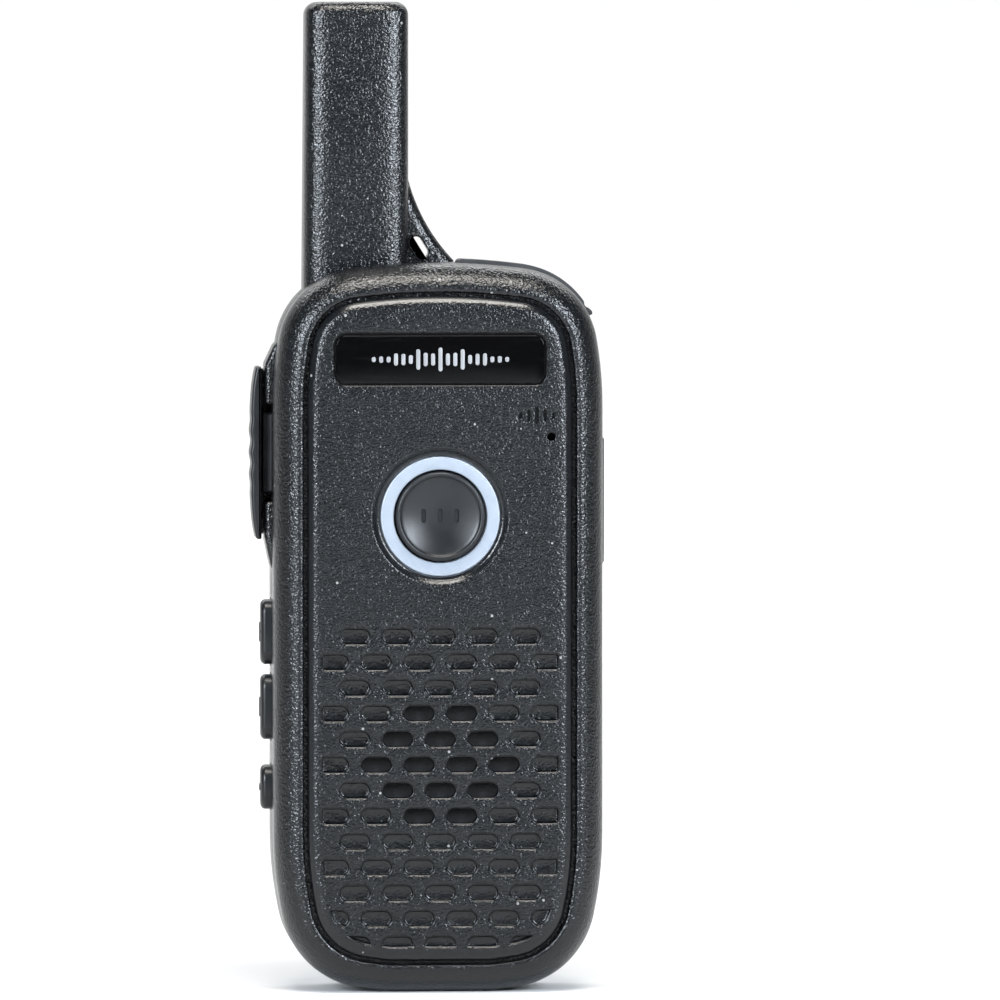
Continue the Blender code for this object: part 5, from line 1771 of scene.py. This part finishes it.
    def build(self) -> None:
        """Joins the outer forms, hollows them out and cuts the openings."""
        case = self.case
        web, eye_rim = self.web()
        rim, bend = case.rear_y, self.cavity_y - 3
        cavity = [(1.0, rim - 1), (1.0, rim + 1.1), (2.0, rim + 1.1), (2.0, bend)]
        cavity += [(3 - math.cos(a), bend + 3 * math.sin(a)) for a in np.linspace(0.3, QUARTER, 6)]
        hollow = stand([case.ring(o) for o, _ in cavity], [y for _, y in cavity], Axis.Y)
        bore = stand(
            [self.antenna_section(1.8, 0), self.antenna_section(2.1, 0)],
            [case.below(12.9), self.antenna_top - 2.2], Axis.Z)
        low, high = self.bay_z
        middle, half, wall = (0, (low + high) / 2), (high - low) / 2, 1.3
        bay_out = rounded_box(self.bay_half + wall, half + wall, 1.5, middle)
        bay_walls = soft_block(bay_out, Axis.Y, self.bay_floor - wall, self.cavity_y + 1)
        bay_in = rounded_box(self.bay_half, half, 1.0, middle)
        door_room = soft_block(self.door_section(0.3, self.door_floor), Axis.Z, -10, case.below(42) + 0.3)
        steps = [
            join("antenna", self.antenna()),
            join("web", web),
            join("eye_rim", eye_rim),
            *[join("shoulder", rings) for rings in [*self.shoulders(), self.fence()]],
            take("hollow", hollow),
            take("bore", bore),
            take("eye", self.eye_cutter()),
            join("bay_walls", bay_walls),
            *[
                join("post", turned([(2.4, -2.5), (2.4, self.cavity_y + 1)], Axis.Y, place, 32))
                for place in BOSSES
            ],
            take("door_room", door_room),
            take("bay", soft_block(bay_in, Axis.Y, self.bay_floor, case.back_y + 1)),
            *self.openings(),
        ]
        shell = carve(solid("rear_case", self.outer()), *steps)
        piece("rear_case", shell, Slot.SHELL, "housing", ["rear_shell"], crease=34)


# ---- keys on the side ----
@dataclass
class SideKeys:
    """The talk key with its actuator, and the three small keys."""

    keys: Keys
    inner_x: float = -26.5
    thickness: float = 1.7
    half_depth: float = 3.5
    rib_height: float = 0.11
    rib_pitch: float = 3.4
    pad_face: float = -26.6
    flange_x: tuple[float, float] = (-22.7, -22.1)

    def talk_outline(self) -> Array:
        """(x, z) outline of the talk key: a crowned outside with four low ribs across its middle.

        Returns:
            The outline.
        """
        low, high = self.keys.talk_low, self.keys.talk_high
        middle, half = (low + high) / 2, (high - low) / 2
        share = np.linspace(-0.955, 0.955, 150)
        step_in = 0.8 * np.abs(share) ** 4.2
        wave = np.cos(share * half / self.rib_pitch * 2 * math.pi)
        ribs = self.rib_height * wave * np.clip(1.5 - np.abs(share) * 2.6, 0, 1)
        outer = self.inner_x - self.thickness
        x = np.maximum(outer + step_in + self.rib_height - ribs, outer)
        face = columns(x, middle + share * half)
        end = [(x[0], low + 1.2), (x[0] + 0.05, low), (self.inner_x, low), (self.inner_x, low + 1.2)]
        low_end = rounded_polygon(end, np.array([0.01, 0.5, 0.25, 0.01]), 6)[7:-7]
        high_end = columns(low_end[:, 0], 2 * middle - low_end[:, 1])
        return anticlockwise(np.concatenate([face, high_end, low_end[::-1]]))

    def pad(self, z: float, length: float, corner: float) -> Array:
        """Rings of one small key: a crowned face, its sides, and the flange inside the wall.

        Args:
            z: Height of its middle.
            length: Its length, along Z.
            corner: Radius of its face's corners.

        Returns:
            The rings.
        """
        y, half_y, half_z = self.keys.y, self.keys.pad_half, length / 2
        turn = np.linspace(0, QUARTER, 7)
        shrink = 0.85 * (1 - np.sin(turn))
        level = self.pad_face + 0.75 * (1 - np.cos(turn))
        insets = [1.35, *shrink]
        levels = [self.pad_face, *level]
        sections = [rounded_box(half_y - s, half_z - s, max(corner - s, 0.3), (y, z), 8) for s in insets]
        flange = rounded_box(half_y + 0.8, half_z + 0.5, corner, (y, z), 8)
        sections += [sections[-1], flange, flange]
        levels += [self.flange_x[0], *self.flange_x]
        return stand(sections, levels, Axis.X)

    def mark(self, name: str, z: float) -> list[Array]:
        """Rings of the raised mark to feel for: a plus, a minus or a dot.

        Args:
            name: The key.
            z: Height of its middle.

        Returns:
            The rings of each stroke.
        """
        y = self.keys.y
        shapes = {
            "volume_up": [rounded_box(0.3, 1.5, 0.28, (y, z)), rounded_box(1.1, 0.3, 0.28, (y, z))],
            "volume_down": [rounded_box(0.3, 1.5, 0.28, (y, z))],
            "function": [circle(0.55, (y, z), 24)],
        }[name]
        return [soft_block(line, Axis.X, -26.78, -26.3, (0.1, 0.0)) for line in shapes]

    def build(self) -> None:
        """Makes the talk key, its actuator and the small keys."""
        y = self.keys.y
        key = soft_block(self.talk_outline(), Axis.Y, y - self.half_depth, y + self.half_depth, 0.42)
        piece("talk_key", solid("talk_key", key), Slot.KEY, "side_talk", ["side_talk_key"], crease=50)
        middle = (self.keys.notch_low + self.keys.notch_high) / 2
        neck = rounded_box(2.2, 6.3, 0.8, (y, middle))
        flange = rounded_box(3.0, 7.1, 0.8, (y, middle))
        waist = np.linspace(0, 1, 9)
        bellows = [inset(neck, 0.22 * math.sin(math.pi * s * 2) ** 2) for s in waist.tolist()]
        levels = [*(-26.2 + 3.5 * waist), *self.flange_x]
        actuator = stand([*bellows, flange, flange], levels, Axis.X)
        piece("talk_bellows", solid("talk_bellows", actuator), Slot.KEY, "side_talk", ["side_talk_actuator"])
        for name, z, length, corner in self.keys.pads:
            pad = carve(
                solid(f"{name}_key", self.pad(z, length, corner)),
                *[join("mark", rings) for rings in self.mark(name, z)],
            )
            piece(f"{name}_key", pad, Slot.KEY, name, [f"{name}_button"], crease=38)


@dataclass
class SocketCovers:
    """The rubber covers over the charging socket and over the two jacks, with their plugs."""

    covers: Covers

    def build(self) -> None:
        """Makes both covers with their plugs."""
        covers = self.covers
        share = np.linspace(0, 1, 40)
        lip = 0.28 * np.exp(-(((share - 0.97) / 0.035) ** 2))
        lip -= 0.32 * np.exp(-(((share - 0.885) / 0.022) ** 2))
        strip = covers.top_outline(covers.proud + lip, covers.sink, covers.pivot_radius, 0.0)
        flap = soft_block(strip, Axis.Y, covers.top_low, covers.top_high, (0.12, 0.3))
        x, y = covers.usb[:2]
        plug_z = float(covers.case.top_point(covers.case.top.angle_at(x), covers.sink + 0.9)[1])
        plug = soft_block(rounded_box(3.6, 0.9, 0.85, (x, y)), Axis.Z, plug_z, plug_z + 1.6, (0.25, 0.0))
        cover = carve(solid("charge_cover", flap), join("plug", plug))
        piece("charge_cover", cover, Slot.COVER, "top_flap", ["top_port_cover"], crease=40)
        low, high = covers.jack_y - covers.jack_half, covers.jack_y + covers.jack_half
        flap = soft_block(covers.jack_outline(0, 0), Axis.Y, low, high, 0.35)
        steps = []
        for name, radius, z in covers.jacks:
            stub = [(radius - 0.55, 23.15), (radius - 0.2, 23.5), (radius - 0.2, 24.65)]
            steps.append(join(name, turned(stub, Axis.X, (covers.jack_y, z), 32)))
        cover = carve(solid("jack_flap", flap), *steps)
        piece("jack_flap", cover, Slot.COVER, "jack_flap", ["jack_cover"], crease=40)


# ---- the back ----
@dataclass
class BatteryDoor:
    """The sliding door over the battery, with finger grips at its top."""

    rear: RearCase
    top_z: float = 68.4
    grips: int = 5
    grip_pitch: float = 1.8

    def build(self) -> None:
        """Keeps the part of the rear form that lies in the dovetail, and cuts the grips."""
        back = self.rear.case.back_y
        slab = soft_block(self.rear.door_section(0.0, back - 1.7), Axis.Z, -10, self.top_z, (0.0, 0.2))
        steps = [(Cut.KEEP, solid("slab", slab))]
        for i in range(self.grips):
            z = self.top_z - 5 - i * self.grip_pitch
            stations = [(0.0, back - 0.5), (0.0, back - 0.15), (0.1, back - 0.03), (0.25, back + 0.05)]
            stations.append((0.25, back + 1))
            lines = [rounded_box(7 + g, 0.4 + g, 0.38 + g, (0, z), 5) for g, _ in stations]
            steps.append(take("grip", stand(lines, [y for _, y in stations], Axis.Y)))
        arrow = anticlockwise(rounded_polygon([(-1.8, 52.2), (0, 49.8), (1.8, 52.2)], 0.25, 4))
        steps.append(take("arrow", soft_block(arrow, Axis.Y, back - 0.3, back + 1)))
        door = carve(solid("slide_door", self.rear.outer()), *steps)
        piece("slide_door", door, Slot.SHELL, "back_door", ["battery_door"], crease=36)


@dataclass
class BeltClip:
    """The spring clip on the back: bracket, lever, pin and torsion spring."""

    y: float = 17.2
    z: float = 90.0
    base_y: float = 12.3
    half: float = 7.6
    bracket_half: float = 10.4
    bracket_thickness: float = 1.8
    wire: float = 0.3
    coil_radius: float = 1.4
    coil_turns: int = 4
    coil_half: float = 2.6

    def lever_outline(self) -> Array:
        """(y, z) outline of the lever, from the thumb end down to the curled tip and back up.

        Returns:
            The outline.
        """
        inner, z, base = self.y + 2.0, self.z, 12.9
        down = z - 47.0
        line = [
            (inner - 0.3, z + 9.5), (inner, z + 3), (inner, z - 4), (inner - 0.5, z - 25.85),
            (inner - 1.1, down + 7), (base + 0.6, down + 3.4), (base, down + 2.2), (base + 1.3, down),
            (base + 2.9, down + 1.8), (inner + 0.8, down + 6), (inner + 1.4, z - 25.85),
            (inner + 1.9, z - 4), (inner + 1.9, z + 3), (inner + 1.6, z + 9.5),
        ]
        radii = np.array([0.7, 6, 6, 12, 5, 2, 0.9, 0.7, 2, 5, 12, 6, 6, 0.8])
        return anticlockwise(rounded_polygon(line, radii, 7))

    def lever(self) -> bpy.types.Mesh:
        """The lever with its lugs, pin hole, thumb grooves and a long shallow panel.

        Returns:
            The mesh.
        """
        steps = []
        for side in (-1, 1):
            lug = np.concatenate([
                arc((self.y, self.z), 2.3, 1.5 * math.pi, 0.5 * math.pi, 18),
                [(self.y + 3, self.z + 2.3), (self.y + 3, self.z - 2.3)],
            ])
            low, high = sorted((side * (self.half - 2.4), side * (self.half - 0.05)))
            steps.append(join("lug", soft_block(anticlockwise(lug), Axis.X, low, high, 0.12)))
        bore = turned([(0.86, -9), (0.86, 9)], Axis.X, (self.y, self.z), 32)
        steps.append(take("pin_hole", bore))
        for step in range(4):
            groove = circle(0.42, (self.y + 3.86 - 0.03 * step, self.z + 4.2 + 1.25 * step), 20)
            steps.append(take("groove", soft_block(groove, Axis.X, -5.6, 5.6, 0.3)))
        panel = rounded_box(4.6, 13.0, 2.0, (0, self.z - 17.5), 8)
        steps.append(take("panel", soft_block(panel, Axis.Y, self.y + 3.45, self.y + 5)))
        body = soft_block(self.lever_outline(), Axis.X, -self.half, self.half, 0.5)
        return carve(solid("clip_lever", body), *steps)

    def bracket(self) -> bpy.types.Mesh:
        """The bracket: a plate with two ears, the pin's hole and two countersunk screw holes.

        Returns:
            The mesh.
        """
        plate = rounded_box(self.bracket_half, 9.0, 1.5, (0, self.z - 2.5), 8)
        base = self.base_y
        body = soft_block(plate, Axis.Y, base, base + self.bracket_thickness, (0.0, 0.35))
        steps = []
        foot = base + 0.6
        for side in (-1, 1):
            ear = np.concatenate([
                [(foot, self.z + 4.4), (foot, self.z - 4.4)],
                arc((self.y, self.z), 2.7, -math.pi / 3, math.pi * 0.6, 22),
            ])
            low, high = sorted((side * (self.bracket_half - 2.1), side * (self.bracket_half - 0.05)))
            steps.append(join("ear", soft_block(anticlockwise(ear), Axis.X, low, high, 0.25)))
        bore = turned([(0.85, -12), (0.85, 12)], Axis.X, (self.y, self.z), 32)
        steps.append(take("hole", bore))
        hole = [(1.2, base - 1), (1.2, base + 4)]
        seat = [(2.1, base + 0.7), (2.1, base + 1.6), (2.35, base + 1.81), (2.35, base + 4)]
        for place in CLIP_SCREWS:
            steps.append(take("screw_hole", turned(hole, Axis.Y, place, 24)))
            steps.append(take("screw_seat", turned(seat, Axis.Y, place, 36)))
        return carve(solid("clip_bracket", body), *steps)

    def spring(self) -> tuple[Array, Array]:
        """Centrelines of the spring's foot, which lies on the bracket, and of its coil and arm.

        Returns:
            Both centrelines, each of shape (n, 3).
        """
        coil_r, half = self.coil_radius, self.coil_half
        base = self.base_y + self.bracket_thickness + self.wire + 0.1
        share = np.linspace(0, 1, 150)
        turn = math.pi + 2 * math.pi * (self.coil_turns + 0.5) * share
        across, out, up = -half + 2 * half * share, coil_r * np.cos(turn), coil_r * np.sin(turn)
        coil = columns(across, self.y + out, self.z + up)
        z = np.linspace(self.z - 5.2, self.z - 1.4, 12)
        ease = np.clip((z - (self.z - 2.6)) / 1.2, 0, 1)
        foot = columns(np.full_like(z, -half), base + (self.y - coil_r - base) * ease**2, z)
        up = np.linspace(self.z + 0.3, self.z + 5.0, 12)
        arm = columns(np.full_like(up, half), np.full_like(up, self.y + coil_r), up)
        return foot, np.concatenate([coil, arm])

    def build(self) -> None:
        """Makes the clip's pieces."""
        piece("clip_bracket", self.bracket(), Slot.SHELL, "housing", ["belt_clip_bracket"], crease=36)
        piece("clip_lever", self.lever(), Slot.SHELL, "belt_clip", ["belt_clip_lever"], crease=36)
        end = self.bracket_half - 0.4
        rod = [(0.62, -end), (0.8, -end + 0.2), (0.8, end - 0.2), (0.62, end)]
        pin = solid("clip_pin", turned(rod, Axis.X, (self.y, self.z), 32))
        piece("clip_pin", pin, Slot.STEEL, "housing", ["belt_clip_pin"])
        foot, coil = (tube(path, self.wire) for path in self.spring())
        piece("spring_coil", solid("spring_coil", coil), Slot.STEEL, "belt_clip", ["belt_clip_spring"])
        piece("spring_foot", solid("spring_foot", foot), Slot.STEEL, "housing")


@dataclass
class Screws:
    """The four case screws and the two that hold the clip's bracket."""

    radius: float = 1.0
    head_radius: float = 1.9
    head_height: float = 1.2
    pitch: float = 0.5
    recess_half: tuple[float, float] = (1.05, 0.24)
    front_end: float = -7.5
    seats: tuple[float, float] = (12.0, 10.0)  # the back, and the floor under the battery door

    def screw(self, place: Sequence[float], head_y: float, length: float) -> bpy.types.Mesh:
        """One pan-head screw: a domed head with a cross recess, and a ridged shank.

        Args:
            place: (x, z) of its axis.
            head_y: Level of the underside of its head.
            length: Length of its shank.

        Returns:
            The mesh.
        """
        dome = np.linspace(0, QUARTER, 7)
        width = self.head_radius * (0.72 + 0.28 * np.cos(dome))
        head = columns(width, head_y + self.head_height * (0.45 + 0.55 * np.sin(dome)))
        along = np.linspace(head_y - length, head_y - 0.3, 40)
        thread = self.radius * (0.90 + 0.10 * np.cos(along / self.pitch * 2 * math.pi))
        thread[:2] *= (0.6, 0.85)
        shank = columns(thread, along)
        profile = np.concatenate([shank, [(self.radius * 0.9, head_y), (self.head_radius, head_y)], head])
        body = solid("screw", turned(profile, Axis.Y, place, 32))
        top = head_y + self.head_height
        levels = (top - 0.75, top + 0.4)
        arm, half = self.recess_half
        flat = [rounded_box(arm * share, half, 0.08, place, 2) for share in (0.55, 1.0)]
        upright = [rounded_box(half, arm * share, 0.08, place, 2) for share in (0.55, 1.0)]
        steps = [take("cross", stand(lines, levels, Axis.Y)) for lines in (flat, upright)]
        return carve(body, *steps)

    def build(self) -> None:
        """Makes all six."""
        for number, place in enumerate(BOSSES, 1):
            head_y = self.seats[number > 2] - self.head_height - 0.15
            mesh = self.screw(place, head_y, head_y - self.front_end)
            piece(f"case_bolt_{number}", mesh, Slot.STEEL, "housing", [f"case_screw_{number}"])
        for number, place in enumerate(CLIP_SCREWS, 1):
            mesh = self.screw(place, 13.05, 4.2)
            piece(f"clip_bolt_{number}", mesh, Slot.STEEL, "housing", [f"clip_screw_{number}"])


KEY_NAMES = ("front_talk", "side_talk", "volume_up", "volume_down", "function")


class Interior:
    """The pieces inside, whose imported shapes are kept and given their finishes."""

    SLOTS: Mapping[Slot, tuple[str, ...]] = {
        Slot.COVER: ("case_seal", "mic_boot"),
        Slot.STEEL: ("usb_socket", "rf_shield", "speaker_frame", "microphone"),
        Slot.GOLD: ("battery_contact_1", "battery_contact_2", "battery_contact_3", "aerial_feed"),
        Slot.BOARD: ("main_board",),
        Slot.CHIP: (*(f"{key}_switch" for key in KEY_NAMES), "jack_socket", "processor"),
        Slot.WHITE: (*(f"{key}_stem" for key in KEY_NAMES), "left_led", "right_led", "aerial_core"),
        Slot.WRAP: ("battery_pack",),
        Slot.COPPER: ("aerial_coil",),
        Slot.FERRITE: ("speaker_magnet",),
        Slot.PAPER: ("speaker_cone",),
        Slot.FELT: ("speaker_felt",),
    }

    def dress(self) -> None:
        """Puts each finish on the nodes that carry it."""
        for slot, names in self.SLOTS.items():
            for name in names:
                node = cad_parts[name]
                node.data.materials.clear()
                node.data.materials.append(Wardrobe.of(slot.value))
            LOG.info("%s on %s", slot.value.name, ", ".join(names))


# ---- studio ----
COOL, WARM, NEUTRAL = (0.84, 0.92, 1.0), (1.0, 0.96, 0.90), (1.0, 1.0, 1.0)
MIDDLE = (0.0, 0.0, 0.075)


@dataclass(frozen=True)
class Lamp:
    """A soft rectangular lamp at one place, turned towards another, in metres and watts."""

    name: str
    at: tuple[float, float, float]
    to: tuple[float, float, float]
    size: tuple[float, float]
    power: float
    colour: Colour

    def build(self) -> None:
        """Hangs the lamp, out of the camera's sight."""
        data = bpy.data.lights.new(self.name, "AREA")
        data.shape, (data.size, data.size_y) = "RECTANGLE", self.size
        data.energy, data.color = self.power, self.colour
        lamp = bpy.data.objects.new(self.name, data)
        lamp.location = self.at
        lamp.rotation_euler = (Vector(self.at) - Vector(self.to)).to_track_quat("Z", "Y").to_euler()
        lamp.visible_camera = False
        link(lamp)


@dataclass
class Studio:
    """A pale round floor that curves up into its own backdrop, soft lamps and the camera."""

    aim: tuple[float, float, float] = (9.85, 0.0, 74.2)
    azimuth: float = math.radians(-4)
    elevation: float = math.radians(2.2)
    distance: float = 1.6
    view_width: float = 0.1521
    ambient: float = 0.07
    lamps: tuple[Lamp, ...] = (
        Lamp("left_soft", (-0.55, -0.66, 0.34), MIDDLE, (0.22, 0.42), 12.0, COOL),
        Lamp("right_soft", (0.34, -0.46, 0.26), MIDDLE, (0.15, 0.28), 5.6, COOL),
        Lamp("top_soft", (0.0, -0.22, 0.70), MIDDLE, (0.4, 0.2), 6.0, WARM),
        Lamp("backdrop", (0.0, 1.5, 1.8), (0.0, 2.5, 0.3), (3.2, 1.2), 66.0, NEUTRAL),
        Lamp("floor_soft", (0.0, 1.0, 0.9), (0.0, 1.15, 0.0), (1.8, 0.8), 15.0, NEUTRAL),
    )

    def floor(self) -> None:
        """A disc whose rim turns up: radius 2 + 1.5 sin t, height 1.5 (1 - cos t), in metres."""
        turn = np.linspace(0, QUARTER, 16)
        radius = np.concatenate([[0.01, 0.3, 1.0], 2.0 + 1.5 * np.sin(turn), [3.5]]) / MM
        height = np.concatenate([[0.0, 0.0, 0.0], 1.5 * (1 - np.cos(turn)), [2.6]]) / MM - 0.02
        rings = stand(radius[:, None, None] * circle(1.0, segments=96), height, Axis.Z)
        mesh = Surface().loft(rings, caps=(True, False)).mesh("floor")
        mesh.shade_smooth()
        shader = Shader("pale_floor")
        tone = shader.noise(900.0, 2.0)
        shader.set(
            Base_Color=shader.mix(tone, (0.60, 0.60, 0.60), (0.63, 0.63, 0.63)), Roughness=0.75,
            Specular_IOR_Level=0.1)
        mesh.materials.append(shader.material)
        floor = bpy.data.objects.new("floor", mesh)
        link(floor)

    def camera(self) -> None:
        """A long lens a little to the left of the radio and a little over its middle."""
        a, e = self.azimuth, self.elevation
        back = Vector((math.sin(a) * math.cos(e), -math.cos(a) * math.cos(e), math.sin(e)))
        data = bpy.data.cameras.new("camera")
        data.sensor_width = 36.0
        data.lens = data.sensor_width * self.distance / self.view_width
        data.clip_start, data.clip_end = 0.05, 20
        camera = bpy.data.objects.new("camera", data)
        camera.location = Vector(self.aim) * MM + back * self.distance
        camera.rotation_euler = back.to_track_quat("Z", "Y").to_euler()
        link(camera)
        bpy.context.scene.camera = camera

    def build(self) -> None:
        """Sets the whole studio up."""
        self.camera()
        self.floor()
        world = bpy.data.worlds.new("soft_room")
        world.use_nodes = True
        background = world.node_tree.nodes["Background"]
        background.inputs["Color"].default_value = (0.93, 0.96, 1.0, 1)
        background.inputs["Strength"].default_value = self.ambient
        bpy.context.scene.world = world
        bpy.context.scene.view_settings.view_transform = "Standard"
        for lamp in self.lamps:
            lamp.build()


def main() -> None:
    """Builds the radio from its front to its back, and the studio round it."""
    logging.basicConfig(level=logging.INFO, format="%(name)s: %(message)s")
    case = Case()
    keys, covers = Keys(), Covers(case)
    rear = RearCase(case, keys, covers)
    Studio().build()
    FrontCase(case).build()
    FacePanel(case).build()
    TalkButton().build()
    rear.build()
    SideKeys(keys).build()
    SocketCovers(covers).build()
    BatteryDoor(rear).build()
    BeltClip().build()
    Screws().build()
    Interior().dress()


if __name__ == "__main__":
    main()
